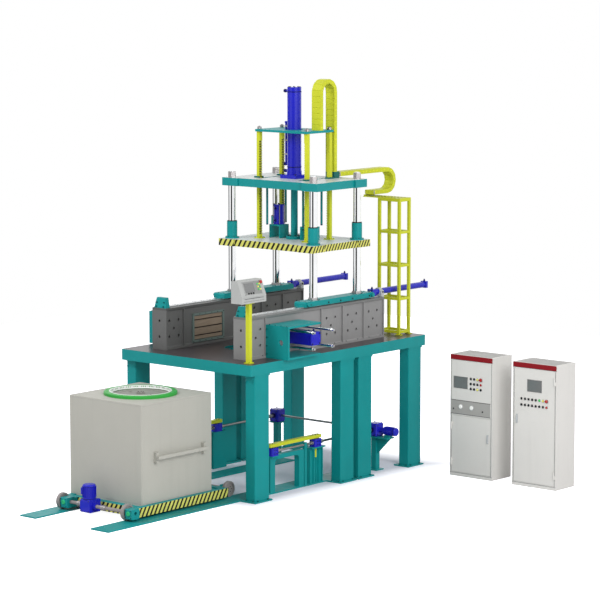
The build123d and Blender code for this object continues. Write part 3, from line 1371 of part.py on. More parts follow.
def bearing_post(side):
    """A post whose head holds a drive shaft between the jacks."""
    x = side * LIFT_X
    z = shaft_z()
    half_x = BEARING_POST_SIDE_X / 2
    half_y = BEARING_POST_SIDE_Y / 2
    top = z + 2 * LIFT_SHAFT_R
    post = block(
        x - half_x, x + half_x, BEARING_POST_Y - half_y, BEARING_POST_Y + half_y, stand_floor(side), top
    )
    return post - rod_y(LIFT_SHAFT_R + RUN_GAP, BEARING_POST_Y - half_y, BEARING_POST_Y + half_y, x, z)


def hinge_axis(x0, way):
    """The X and Y place of a door's hinge pins; way is -1 for a left-hand hinge."""
    middle = x0 + CABINET_WIDTH / 2
    return middle + way * (CABINET_WIDTH / 2 - CABINET_WALL - DOOR_GAP / 2), CABINET_FRONT_Y - HINGE_R


def hinge_heights(door_low, door_high):
    """The heights at which the two hinges of a door part."""
    return [door_low + HINGE_INSET, door_high - HINGE_INSET]


def shell_hinge(x0, way, z):
    """The lower half of a hinge, with its pin, on the cabinet's housing."""
    x, y = hinge_axis(x0, way)
    half = rod_z(HINGE_R, z - HINGE_LENGTH, z, x, y)
    half += block(x, x + way * 2 * HINGE_R, y, CABINET_FRONT_Y, z - HINGE_LENGTH, z)
    return half + rod_z(HINGE_PIN_R, z, z + HINGE_LENGTH / 2, x, y)


def door_hinge(x0, way, z):
    """The upper half of a hinge, on the door."""
    x, y = hinge_axis(x0, way)
    low = z + RUN_GAP
    half = rod_z(HINGE_R, low, z + HINGE_LENGTH, x, y)
    half += block(x, x - way * 2 * HINGE_R, y, CABINET_FRONT_Y, low, z + HINGE_LENGTH)
    return half - rod_z(HINGE_PIN_R + HINGE_PIN_GAP, low, z + HINGE_LENGTH * 0.6, x, y)


def cabinet_shell(x0, way, door_low, door_high):
    """A cabinet's housing, open in front where its door goes."""
    x1 = x0 + CABINET_WIDTH
    y0 = CABINET_FRONT_Y
    y1 = CABINET_FRONT_Y + CABINET_DEPTH
    wall = CABINET_WALL
    shell = block(x0, x1, y0, y1, 0, CABINET_HEIGHT)
    shell -= block(x0 + wall, x1 - wall, y0, y1 - wall, door_low, door_high)
    for z in hinge_heights(door_low, door_high):
        shell += shell_hinge(x0, way, z)
    return shell


def cabinet_door(x0, way, door_low, door_high):
    """A door that fills a cabinet's opening with a small gap all round."""
    wall = CABINET_WALL + DOOR_GAP
    y0 = CABINET_FRONT_Y
    low = door_low + DOOR_GAP
    high = door_high - DOOR_GAP
    door = block(x0 + wall, x0 + CABINET_WIDTH - wall, y0, y0 + DOOR_THICKNESS, low, high)
    for z in hinge_heights(door_low, door_high):
        door += door_hinge(x0, way, z)
    return door


save("base_plate", base_plate())
save("columns", *[column(side * COLUMN_X, y) for side in SIDES for y in COLUMN_ROWS])
save("left_rail", rail_beam(-1))
save("right_rail", rail_beam(1))
save("guide_strips", *both_sides(guide_strip))
save("stop_blocks", *both_sides(stop_block))
save("core_brackets", *both_sides(core_bracket))
save("core_cylinders", *both_sides(core_cylinder))
save("core_frames", *both_sides(core_frame))
save("left_core_plate", core_plate(-1))
save("right_core_plate", core_plate(1))
save("carriage_bars", *both_sides(carriage_bar))
save("tie_bars", *[tie_bar(place) for place in TIE_PLACES])
save("tie_bar_nuts", *[piece for place in TIE_PLACES for piece in tie_nuts(place)])
save("upper_platen", upper_platen())
save("moving_platen", moving_platen())
save("guide_sleeves", *[guide_sleeve(place) for place in TIE_PLACES])
save("main_cylinder", main_cylinder())
save("main_rod", main_rod())
save("rack_rods", *[rack_rod(place) for place in RACK_PLACES])
save("crown_plate", crown_plate())
save("left_sync_shaft", sync_shaft(-1))
save("right_sync_shaft", sync_shaft(1))
save("rack_guides", *[piece for place in RACK_PLACES for piece in rack_guide(place)])
STOP_ROD_PLACES = [(a * STOP_ROD_HALF_X, b * STOP_ROD_HALF_Y) for a in SIDES for b in SIDES]
save("stop_rods", *[stop_rod(place) for place in STOP_ROD_PLACES])
save("ejector_stands", *both_sides(ejector_stand))
save("ejector_cylinders", *both_sides(ejector_cylinder))
save("rear_cylinders", *both_sides(rear_cylinder))
save("trunnions", *both_sides(trunnion))
save("push_rods", *both_sides(push_rod))
save("crown_chain", crown_chain())
save("platen_chain", platen_chain())
save("chain_bracket", chain_bracket())
save("chain_tower", chain_tower() + chain_tray())
save("console_post", console_post())
save("console", console())
save("floor_rails", *both_sides(floor_rail))
save("trolley_frame", trolley_frame())
save("furnace", furnace())
save("furnace_ring", furnace_ring())
save("furnace_lid", furnace_lid())
save("wheel_housings", *[wheel_housing(place) for place in wheel_places()])
save("front_wheels", wheel_pair(FRONT_AXLE_Y))
save("rear_wheels", wheel_pair(REAR_AXLE_Y))
save("trolley_motor", trolley_motor())
save("lift_beams", *both_sides(lift_beams))
save("lift_gearboxes", *([screw_jack(place) for place in lift_places()] + both_sides(bevel_box)))
STANDS = both_sides(front_stand) + both_sides(rear_stand)
save("lift_stands", *(STANDS + both_sides(bevel_stand) + both_sides(bearing_post)))
save("lift_shafts", *lift_shafts())
save("lift_motor", lift_motor())
LOWER_DOOR_TOP = CABINET_BAND_Z
save("left_cabinet", cabinet_shell(LEFT_CABINET_X, -1, CABINET_PLINTH, LOWER_DOOR_TOP))
save("left_cabinet_door", cabinet_door(LEFT_CABINET_X, -1, CABINET_PLINTH, LOWER_DOOR_TOP))
RIGHT_DOOR_TOP = CABINET_HEIGHT - CABINET_HEADER
save("right_cabinet", cabinet_shell(RIGHT_CABINET_X, 1, CABINET_PLINTH, RIGHT_DOOR_TOP))
save("right_cabinet_door", cabinet_door(RIGHT_CABINET_X, 1, CABINET_PLINTH, RIGHT_DOOR_TOP))
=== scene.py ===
"""Looks of the low-pressure die casting machine: painted frame, bright tie bars,
striped platen, furnace on its trolley and two control cabinets."""

import math

import bmesh
import bpy
from mathutils import Matrix, Vector


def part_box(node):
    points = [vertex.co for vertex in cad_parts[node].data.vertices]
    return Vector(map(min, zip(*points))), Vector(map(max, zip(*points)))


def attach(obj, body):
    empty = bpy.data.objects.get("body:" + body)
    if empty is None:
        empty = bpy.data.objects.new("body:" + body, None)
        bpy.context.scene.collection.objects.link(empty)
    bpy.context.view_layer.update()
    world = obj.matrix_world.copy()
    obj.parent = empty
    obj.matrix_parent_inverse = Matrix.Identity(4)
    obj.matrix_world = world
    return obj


bl_info = {
    "name": "Die casting machine",
    "version": (1, 0, 0),
    "blender": (4, 5, 0),
    "location": "3D View > Sidebar > Casting",
    "description": "Builds the finishes and small parts of a low-pressure die casting machine",
    "category": "Add Mesh",
}

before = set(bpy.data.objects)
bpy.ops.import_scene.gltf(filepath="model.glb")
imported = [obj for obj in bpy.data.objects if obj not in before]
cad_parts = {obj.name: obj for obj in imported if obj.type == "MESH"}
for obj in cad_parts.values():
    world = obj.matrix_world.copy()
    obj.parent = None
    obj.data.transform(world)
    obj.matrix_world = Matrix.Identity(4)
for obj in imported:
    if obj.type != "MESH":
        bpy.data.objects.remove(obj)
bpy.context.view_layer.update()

X_AXIS = Vector((1, 0, 0))
Y_AXIS = Vector((0, 1, 0))
Z_AXIS = Vector((0, 0, 1))
SIDES = (-1, 1)


def tie_bar_centre():
    """The floor point under the centre of the four tie bars."""
    low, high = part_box("tie_bars")
    return Vector(((low.x + high.x) / 2, (low.y + high.y) / 2, 0))


ORIGIN = tie_bar_centre()


def span(node):
    """A node's low and high corners, from the point under the tie bars' centre."""
    low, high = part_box(node)
    return low - ORIGIN, high - ORIGIN


def middle(node):
    """The middle of a node's box, from the same point."""
    low, high = span(node)
    return (low + high) / 2


# Places in metres from the point under the tie bars, by the frame's boxes or the CAD's values

RAIL_X = middle("right_rail").x
RAIL_FLANGE = span("right_rail")[1].z - 0.032
STOP_ROD_FOOT = span("stop_rods")[0].z + 0.017
PLATE_BOTTOM = span("base_plate")[0].z
PLATE_TOP = span("base_plate")[1].z
PLATEN_TOP = span("moving_platen")[1].z
CARRIAGE_TOP = span("carriage_bars")[1].z
TIE_Y = 0.51
CORE = middle("core_frames")
CORE_FACE = 0.655
COLUMN_X = 1.16
COLUMN_ROWS = (-2.191, -0.269, 0.152, 1.359)
COLUMN_HALF_X = 0.09
COLUMN_HALF_Y = 0.156
RACK_X = 0.464
RACK_Y = 0.26
RACK_HALF = 0.03
EJECTOR_X = 0.302
CHAIN_X = middle("crown_chain").x
CHAIN_HALF = 0.033
CHAIN_END_Y = 1.33
TRAY_TOP = 4.0875
TOWER_POST_X = (0.61, 0.99)
TOWER_POST_Y = (1.29, 1.53)
TRUNNION_Y = 1.035
TRUNNION_SCREW_Z = 2.6
STOP_LEAN = 0.2135
POST_X = 1.09
POST_Y = -2.29
FURNACE_HALF = 0.703
FURNACE_FRONT = -4.1
FURNACE_BACK = -2.65
MOTOR_X = -0.034
MOTOR_Y = -4.392
JACK_X = 0.978
JACK_ROWS = (-1.65, -0.68)
JACK_TOP = 0.68
BEVEL_Y = 0.745
BEVEL_FRONT = 0.655
CABINETS = ("left_cabinet", "right_cabinet")
CABINET_FACE = 1.14
CABINET_WIDTH = span("left_cabinet")[1].x - span("left_cabinet")[0].x


def colour_property(name, note, value):
    """A colour that the panel shows."""
    return bpy.props.FloatVectorProperty(
        name=name, description=note, subtype="COLOR", size=3, min=0, max=1, default=value
    )


def length_property(name, note, value):
    """A length in metres that the panel shows."""
    return bpy.props.FloatProperty(
        name=name, description=note, unit="LENGTH", min=0, default=value, precision=4
    )


class CASTER_PG_colours(bpy.types.PropertyGroup):
    """Paint and metal colours of the machine."""

    teal: colour_property("Frame", "Paint of the frame, plates and columns", (0.004, 0.275, 0.28))
    blue: colour_property("Cylinders", "Paint of cylinders, jacks and motors", (0.014, 0.017, 0.5))
    yellow: colour_property("Racks and tower", "Paint of racks, chains and tower", (0.60, 0.64, 0.03))
    # The left rail's steel is a darker copy of the right rail's, as painted shade.
    left_rail: colour_property("Left rail", "Steel of the left rail in painted shade", (0.14, 0.142, 0.14))
    right_rail: colour_property("Right rail", "Ground steel of the right rail", (0.27, 0.268, 0.268))
    plate: colour_property("Plate top", "Bare top of the base plate", (0.06, 0.05, 0.055))
    pale: colour_property("Platen tops", "Bright machined tops of the platens", (0.66, 0.69, 0.69))
    steel: colour_property("Bright steel", "Chromed and ground steel", (0.80, 0.81, 0.82))
    core: colour_property("Core plates", "Tan metal of the slotted core plates", (0.27, 0.21, 0.155))
    furnace: colour_property("Furnace", "Paint of the furnace housing", (0.47, 0.462, 0.415))
    ring: colour_property("Furnace ring", "Paint of the ring round the mouth", (0.04, 0.38, 0.06))
    cabinet: colour_property("Cabinets", "Powder coat of the control cabinets", (0.71, 0.695, 0.665))
    header: colour_property("Cabinet header", "Band along the cabinets' top", (0.25, 0.008, 0.014))
    console: colour_property("Console", "Powder coat of the operator console", (0.45, 0.46, 0.45))
    stripe: colour_property("Stripe", "Pale yellow between the dark stripes", (0.69, 0.68, 0.15))


class CASTER_PG_sizes(bpy.types.PropertyGroup):
    """Sizes of the machine's small parts."""

    screw_head: length_property("Screw head radius", "Radius of a large screw's head", 0.016)
    screw_height: length_property("Screw head height", "Height of a large screw's head", 0.014)
    front_stripe: length_property("Front stripe", "Pitch of the stripes on the platen's front", 0.093)
    side_stripe: length_property("Side stripe", "Pitch of the stripes on the platen's sides", 0.066)
    beam_stripe: length_property("Trolley stripe", "Pitch of the stripes on the trolley", 0.084)
    link_pitch: length_property("Chain pitch", "Pitch of the drag chains' links", 0.084)
    key: length_property("Button radius", "Radius of a cabinet's push button", 0.017)
    fin: length_property("Fin height", "How far a motor's cooling fins stand out", 0.008)


def colours():
    """The panel's colours."""
    return bpy.context.scene.caster_colours


def sizes():
    """The panel's sizes."""
    return bpy.context.scene.caster_sizes


class Board:
    """A node tree with short calls to add and join nodes."""

    def __init__(self, tree):
        self.tree = tree
        self.tree.nodes.clear()

    def add(self, kind, inputs=None, **settings):
        """A new node with its settings and the values or links of its inputs."""
        node = self.tree.nodes.new(kind)
        for name, value in settings.items():
            setattr(node, name, value)
        for key, value in (inputs or {}).items():
            self.join(value, node.inputs[key])
        return node

    def join(self, value, socket):
        """Link a socket's value to another socket, or set it."""
        if isinstance(value, bpy.types.NodeSocket):
            self.tree.links.new(value, socket)
        else:
            socket.default_value = value

    def math(self, operation, first, second=0.5, third=0.5):
        """The output of a Math node."""
        inputs = {0: first, 1: second, 2: third}
        return self.add("ShaderNodeMath", inputs, operation=operation).outputs[0]

    def noise(self, where, scale, detail):
        """The factor of a Noise texture."""
        inputs = {"Vector": where, "Scale": scale, "Detail": detail, "Roughness": 0.55}
        return self.add("ShaderNodeTexNoise", inputs).outputs["Fac"]

    def patches(self, where, scale, detail):
        """Noise whose middle range is stretched to the full one."""
        return self.remap(self.noise(where, scale, detail), 0.3, 0.7)

    def stretched(self, where, scale):
        """Coordinates scaled along each axis."""
        return self.add("ShaderNodeMapping", {"Vector": where, "Scale": scale}).outputs[0]

    def relief(self, shader, height, strength, depth):
        """A fine relief on a shader's surface."""
        bump = self.add("ShaderNodeBump", {"Height": height, "Strength": strength, "Distance": depth})
        self.join(bump.outputs[0], shader.inputs["Normal"])

    def remap(self, value, low, high, new_low=0.0, new_high=1.0):
        """A value taken from one range to another."""
        inputs = {"Value": value, "From Min": low, "From Max": high}
        inputs.update({"To Min": new_low, "To Max": new_high})
        return self.add("ShaderNodeMapRange", inputs).outputs["Result"]

    def mix(self, factor, first, second):
        """A mix of two colours."""
        node = self.add("ShaderNodeMix", {0: factor, 6: first, 7: second}, data_type="RGBA")
        return node.outputs[2]

    def either(self, factor, first, second):
        """One of two numbers, by a factor."""
        node = self.add("ShaderNodeMix", {0: factor, 2: first, 3: second}, data_type="FLOAT")
        return node.outputs[0]

    def parts(self, vector):
        """A vector's three parts."""
        return self.add("ShaderNodeSeparateXYZ", {0: vector}).outputs

    def outside(self, value, low, high):
        """How far a value lies outside two limits; negative between them."""
        under = self.math("SUBTRACT", low, value)
        over = self.math("SUBTRACT", value, high)
        return self.math("MAXIMUM", under, over)

    def normal(self):
        """The surface normal's three parts."""
        return self.parts(self.add("ShaderNodeNewGeometry").outputs["Normal"])

    def facing(self, axis):
        """How far the surface faces along an axis, either way."""
        return self.math("ABSOLUTE", self.normal()[axis])


def rgba(colour, level=1.0):
    """A colour with alpha, made lighter or darker by a level."""
    return tuple(min(1.0, part * level) for part in colour[:3]) + (1.0,)


def start_material(name, metallic=0.0, coat=0.0, specular=0.5):
    """A new material with its shader, its output and the object's own coordinates."""
    material = bpy.data.materials.new(name)
    material.use_nodes = True
    board = Board(material.node_tree)
    shader = board.add("ShaderNodeBsdfPrincipled")
    shader.inputs["Metallic"].default_value = metallic
    shader.inputs["Coat Weight"].default_value = coat
    shader.inputs["Specular IOR Level"].default_value = specular
    output = board.add("ShaderNodeOutputMaterial")
    board.join(shader.outputs[0], output.inputs["Surface"])
    where = board.add("ShaderNodeTexCoord").outputs["Object"]
    return material, board, shader, where


def mottled(board, where, colour, mottle=0.05):
    """Paint that varies a little in patches and runs slightly darker in upright streaks."""
    patches = board.patches(where, 1.7, 5.0)
    body = board.mix(patches, rgba(colour, 1 - mottle), rgba(colour, 1 + mottle))
    runs = board.noise(board.stretched(where, (11.0, 11.0, 0.7)), 1.0, 4.0)
    return board.mix(board.remap(runs, 0.55, 0.8, 0.0, 0.12), body, rgba(colour, 0.62))


def roughen(board, shader, where, level, spread, grain, depth):
    """Uneven gloss and a fine relief."""
    gloss = board.remap(board.noise(where, 7.0, 4.0), 0.3, 0.7, level - spread, level + spread)
    board.join(gloss, shader.inputs["Roughness"])
    board.relief(shader, board.noise(where, grain, 2.0), 0.4, depth)


def paint(name, colour, roughness, depth=0.0004, dust=0.05, coat=0.0, mottle=0.05):
    """Sprayed paint: faintly mottled, a little dusty on top."""
    material, board, shader, where = start_material(name, coat=coat, specular=0.2)
    body = mottled(board, where, colour, mottle)
    top = board.remap(board.normal()[2], 0.7, 1.0, 0.0, dust)
    spots = board.remap(board.noise(where, 11.0, 6.0), 0.35, 0.65)
    body = board.mix(board.math("MULTIPLY", top, spots), body, (0.5, 0.49, 0.46, 1.0))
    board.join(body, shader.inputs["Base Color"])
    roughen(board, shader, where, roughness, 0.06, 150.0, depth)
    return material


def topped(name, side, top, roughness):
    """A painted plate with a bare machined top that shows its milling rows."""
    material, board, shader, where = start_material(name, specular=0.25)
    upward = board.remap(board.normal()[2], 0.55, 0.65)
    milled = board.patches(board.stretched(where, (70.0, 2.0, 2.0)), 1.0, 3.0)
    stains = board.remap(board.noise(where, 3.0, 6.0), 0.5, 0.75, 0.0, 0.25)
    bare = board.mix(milled, rgba(top, 0.93), rgba(top, 1.06))
    bare = board.mix(stains, bare, rgba(top, 0.75))
    body = board.mix(upward, mottled(board, where, side), bare)
    board.join(body, shader.inputs["Base Color"])
    board.join(board.either(upward, 0.42, roughness), shader.inputs["Roughness"])
    board.relief(shader, board.noise(where, 150.0, 2.0), 0.3, 0.0003)
    return material


def layered(name, lower, upper, split):
    """Steel or paint that changes colour at a height above the floor."""
    material, board, shader, where = start_material(name, specular=0.3)
    above = board.math("GREATER_THAN", board.parts(where)[2], split)
    body = board.mix(above, mottled(board, where, lower), mottled(board, where, upper))
    board.join(body, shader.inputs["Base Color"])
    roughen(board, shader, where, 0.4, 0.07, 120.0, 0.0003)
    return material


def metal(name, colour, roughness, grain_scale=(60.0, 60.0, 4.0), depth=0.0002, stain=0.2):
    """Bare metal: drawn or ground along one way, with faint stains."""
    material, board, shader, where = start_material(name, metallic=1.0)
    lines = board.noise(board.stretched(where, grain_scale), 6.0, 3.0)
    stains = board.remap(board.noise(where, 4.0, 6.0), 0.5, 0.75, 0.0, stain)
    tint = board.mix(board.remap(lines, 0.3, 0.7), rgba(colour, 0.9), rgba(colour, 1.08))
    tint = board.mix(stains, tint, rgba(colour, 0.5))
    board.join(tint, shader.inputs["Base Color"])
    gloss = board.remap(lines, 0.3, 0.7, roughness * 0.75, roughness * 1.35)
    board.join(gloss, shader.inputs["Roughness"])
    board.relief(shader, lines, 0.35, depth)
    return material


def striped(name, ground, top, pitches, low, high, skin, pale_share):
    """Slanted dark stripes on pale yellow on the outer upright faces between two corners;
    the top is bare or painted, and the rest keeps the ground paint."""
    material, board, shader, where = start_material(name, specular=0.2)
    x, y, z = board.parts(where)
    front_pitch, side_pitch = pitches
    to_front = board.math("GREATER_THAN", board.facing("Y"), 0.7)
    slant = board.math("MULTIPLY", z, 0.58)
    along_x = board.math("DIVIDE", board.math("SUBTRACT", x, slant), front_pitch)
    along_y = board.math("DIVIDE", board.math("SUBTRACT", y, slant), side_pitch)
    run = board.either(to_front, along_y, along_x)
    ragged = board.math("MULTIPLY", board.noise(where, 60.0, 2.0), 0.05)
    wave = board.math("FRACT", board.math("ADD", run, ragged))
    dark = board.math("GREATER_THAN", wave, pale_share)
    worn = board.remap(board.noise(where, 30.0, 6.0), 0.62, 0.75, 0.0, 0.25)
    band = board.mix(dark, rgba(colours().stripe), (0.014, 0.014, 0.012, 1.0))
    band = board.mix(worn, band, (0.25, 0.25, 0.14, 1.0))
    far_x = board.math("GREATER_THAN", board.outside(x, low.x, high.x), -skin)
    far_y = board.math("GREATER_THAN", board.outside(y, low.y, high.y), -skin)
    outer = board.math("MAXIMUM", far_x, far_y)
    upright = board.math("LESS_THAN", board.facing("Z"), 0.5)
    upward = board.math("GREATER_THAN", board.normal()[2], 0.5)
    body = board.mix(upward, mottled(board, where, ground), mottled(board, where, top))
    body = board.mix(board.math("MULTIPLY", outer, upright), body, band)
    board.join(body, shader.inputs["Base Color"])
    roughen(board, shader, where, 0.42, 0.06, 150.0, 0.0004)
    return material


def reach(board, where):
    """How far a place is from the machine's middle, to either side."""
    return board.math("ABSOLUTE", board.math("SUBTRACT", board.parts(where)[0], ORIGIN.x))


def rack_paint():
    """Yellow racks whose toothed inner side is darker between the teeth."""
    material, board, shader, where = start_material("rack_paint", specular=0.2)
    tooth_tip = RACK_X - RACK_HALF
    sunk = board.math("COMPARE", reach(board, where), tooth_tip + 0.0095, 0.0065)
    flank = board.math("LESS_THAN", board.facing("Y"), 0.5)
    above = board.math("GREATER_THAN", board.parts(where)[2], PLATEN_TOP + 0.03)
    # Darker between the teeth on the toothed side, above the platen.
    between_teeth_dark = board.math("MULTIPLY", board.math("MULTIPLY", sunk, flank), above)
    body = board.mix(between_teeth_dark, mottled(board, where, colours().yellow), (0.1, 0.09, 0.02, 1.0))
    board.join(body, shader.inputs["Base Color"])
    roughen(board, shader, where, 0.4, 0.06, 150.0, 0.0003)
    return material


def core_metal():
    """Tan core plates whose slots and sides behind the face are darkened as painted shade, on chromed rods.
    """
    tan = colours().core
    plate_start = span("right_core_plate")[0].x
    material, board, shader, where = start_material("core_metal", specular=0.3)
    away = reach(board, where)
    rod = board.math("GREATER_THAN", away, plate_start + 0.061)
    # Painted shade: all that lies deeper than the plate's face, the slots included, is darkened.
    slot = board.math("GREATER_THAN", away, plate_start + 0.002)
    grain = board.patches(board.stretched(where, (40.0, 3.0, 40.0)), 2.0, 4.0)
    face = board.mix(grain, rgba(tan, 0.85), rgba(tan, 1.15))
    body = board.mix(slot, face, rgba(tan, 0.25))
    board.join(board.mix(rod, body, rgba(colours().steel)), shader.inputs["Base Color"])
    board.join(rod, shader.inputs["Metallic"])
    board.join(board.either(rod, 0.5, 0.1), shader.inputs["Roughness"])
    return material


def lens(name, colour, strength):
    """A lens or screen that shines a little of its own colour."""
    material, board, shader, where = start_material(name, coat=0.6)
    tint = board.mix(board.patches(where, 90.0, 2.0), rgba(colour, 0.92), rgba(colour, 1.08))
    board.join(tint, shader.inputs["Base Color"])
    board.join(tint, shader.inputs["Emission Color"])
    shader.inputs["Emission Strength"].default_value = strength
    shader.inputs["Roughness"].default_value = 0.2
    return material


def platen_stripes():
    """The moving platen's paint, striped round its edge, and its bright top."""
    low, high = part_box("moving_platen")
    pitches = (sizes().front_stripe, sizes().side_stripe)
    skin = 0.03
    return striped("platen_stripes", colours().teal, colours().pale, pitches, low, high, skin, 0.57)


def trolley_stripes():
    """The trolley beams' paint, striped along the outside."""
    low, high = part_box("trolley_frame")
    pitches = (sizes().beam_stripe, sizes().beam_stripe)
    skin = 0.004
    return striped("trolley_stripes", colours().teal, colours().teal, pitches, low, high, skin, 0.54)


def left_rail_shaded_steel():
    """Steel of the left rail, darkened all over as painted shade, and darker on its top flange."""
    rail = colours().left_rail
    return layered("left_rail_shaded_steel", rail, rgba(rail, 0.7), RAIL_FLANGE)


def right_rail_steel():
    """Ground steel of the right rail, darker on its top flange."""
    # The top flange takes the left rail's shade-darkened steel, made a little lighter.
    return layered(
        "right_rail_steel", colours().right_rail, rgba(colours().left_rail, 1.3), RAIL_FLANGE
    )


def stop_rod_paint():
    """Teal stop rods on dark feet."""
    return layered(
        "stop_rod_paint", rgba(colours().blue, 0.2), rgba(colours().teal, 0.8), STOP_ROD_FOOT
    )


def plate_finish():
    """The base plate's paint and its dark bare top."""
    return topped("plate_finish", colours().teal, colours().plate, 0.3)


def platen_finish():
    """The upper platen's paint and its bright top."""
    return topped("platen_finish", colours().teal, colours().pale, 0.35)


def paints():
    """Each paint's colour, its roughness and what else sets it apart."""
    chosen = colours()
    dustless = {"dust": 0.0}
    powder = {"depth": 0.0003, "dust": 0.0}
    return {
        "teal_paint": (chosen.teal, 0.42, {}),
        # The frame's teal darkened as painted shade, for nuts and screws.
        "shaded_teal_paint": (rgba(chosen.teal, 0.45), 0.42, {}),
        "blue_paint": (chosen.blue, 0.3, {"coat": 0.25, "dust": 0.0}),
        "navy_paint": (rgba(chosen.blue, 0.25), 0.34, dustless),
        "yellow_paint": (chosen.yellow, 0.4, dustless),
        # The yellow paint made lighter as a painted highlight, for the chain pins.
        "yellow_highlight_paint": (rgba(chosen.yellow, 1.25), 0.4, dustless),
        "pale_steel": ((0.5, 0.52, 0.53), 0.35, {}),
        "frame_steel": ((0.15, 0.2, 0.185), 0.4, {}),
        "furnace_paint": (chosen.furnace, 0.5, {"dust": 0.0, "mottle": 0.025}),
        "ring_paint": (chosen.ring, 0.4, {}),
        "lid_metal": ((0.27, 0.27, 0.24), 0.5, {}),
        "white_rim": ((0.8, 0.82, 0.8), 0.4, {}),
        "wheel_steel": ((0.3, 0.27, 0.265), 0.4, {}),
        "hub_green": ((0.03, 0.5, 0.2), 0.35, {}),
        "cabinet_coat": (chosen.cabinet, 0.45, {**powder, "mottle": 0.02}),
        "header_red": (chosen.header, 0.4, powder),
        "seam_grey": ((0.2, 0.2, 0.2), 0.5, powder),
        "band_grey": (rgba(chosen.cabinet, 0.55), 0.45, powder),
        "console_coat": (chosen.console, 0.45, {"depth": 0.0003, "mottle": 0.02}),
        "console_panel": (rgba(chosen.console, 0.62), 0.45, {"depth": 0.0003, "mottle": 0.02}),
        "black_plastic": ((0.015, 0.015, 0.017), 0.45, powder),
        "green_paint": ((0.01, 0.14, 0.12), 0.4, {}),
    }


def metals():
    """Each bare metal's colour and roughness, and the chromed bars' grain, depth and stains."""
    steel = colours().steel
    return {
        "chrome": (steel, 0.05, (30.0, 30.0, 1.5), 0.00001, 0.06),
        "ground_steel": (rgba(steel, 0.85), 0.3),
        "dark_screws": ((0.05, 0.05, 0.055), 0.4),
        "shaft_steel": ((0.40, 0.38, 0.38), 0.35),
    }


LENSES = {
    "screen_glass": ((0.15, 0.155, 0.155), 0.05),
    "red_lens": ((0.4, 0.01, 0.01), 0.1),
    "green_lens": ((0.04, 0.45, 0.09), 0.3),
    "yellow_lens": ((0.65, 0.62, 0.12), 0.3),
    "white_lens": ((0.75, 0.75, 0.72), 0.25),
}
SPECIAL_FINISHES = {
    "left_rail_shaded_steel": left_rail_shaded_steel,
    "right_rail_steel": right_rail_steel,
    "stop_rod_paint": stop_rod_paint,
    "plate_finish": plate_finish,
    "platen_finish": platen_finish,
    "core_metal": core_metal,
    "rack_paint": rack_paint,
    "platen_stripes": platen_stripes,
    "trolley_stripes": trolley_stripes,
}
FINISHES = {}


def new_finish(name):
    """A material, made by its own function or from its values."""
    if name in SPECIAL_FINISHES:
        return SPECIAL_FINISHES[name]()
    if name in LENSES:
        return lens(name, *LENSES[name])
    if name in metals():
        return metal(name, *metals()[name])
    colour, roughness, rest = paints()[name]
    return paint(name, colour, roughness, **rest)


def finish(name):
    """One of the machine's materials by name, made when it is first asked for."""
    if name not in FINISHES:
        FINISHES[name] = new_finish(name)
    return FINISHES[name]


NODE_FINISHES = {
    "teal_paint": (
        "columns", "stop_blocks", "core_brackets", "carriage_bars", "guide_sleeves", "crown_plate",
        "floor_rails", "wheel_housings", "lift_stands", "ejector_stands", "main_rod",
    ),
    "plate_finish": ("base_plate",),
    "platen_finish": ("upper_platen",),
    "left_rail_shaded_steel": ("left_rail",),
    "right_rail_steel": ("right_rail",),
    "ground_steel": ("guide_strips",),
    "pale_steel": ("trunnions",),
    "frame_steel": ("core_frames",),
    "blue_paint": (
        "core_cylinders", "main_cylinder", "ejector_cylinders", "rear_cylinders", "trolley_motor",
        "lift_gearboxes", "lift_motor",
    ),
    "core_metal": ("left_core_plate", "right_core_plate"),
    "chrome": ("tie_bars", "push_rods"),
    "stop_rod_paint": ("stop_rods",),
    "rack_paint": ("rack_rods",),
    "yellow_paint": ("crown_chain", "platen_chain", "chain_tower", "console_post", "lift_beams"),
    "shaft_steel": ("tie_bar_nuts", "left_sync_shaft", "right_sync_shaft", "lift_shafts"),
    "green_paint": ("rack_guides", "chain_bracket"),
    "furnace_paint": ("furnace",),
    "ring_paint": ("furnace_ring",),
    "lid_metal": ("furnace_lid",),
    "wheel_steel": ("front_wheels", "rear_wheels"),
    "cabinet_coat": ("left_cabinet", "left_cabinet_door", "right_cabinet", "right_cabinet_door"),
    "console_coat": ("console",),
    "platen_stripes": ("moving_platen",),
    "trolley_stripes": ("trolley_frame",),
}


def give(node, name):
    """Put a finish on a CAD node."""
    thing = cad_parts[node]
    if not thing.material_slots:
        thing.data.materials.append(None)
    for slot in thing.material_slots:
        slot.material = finish(name)


# Building pieces from mesh code


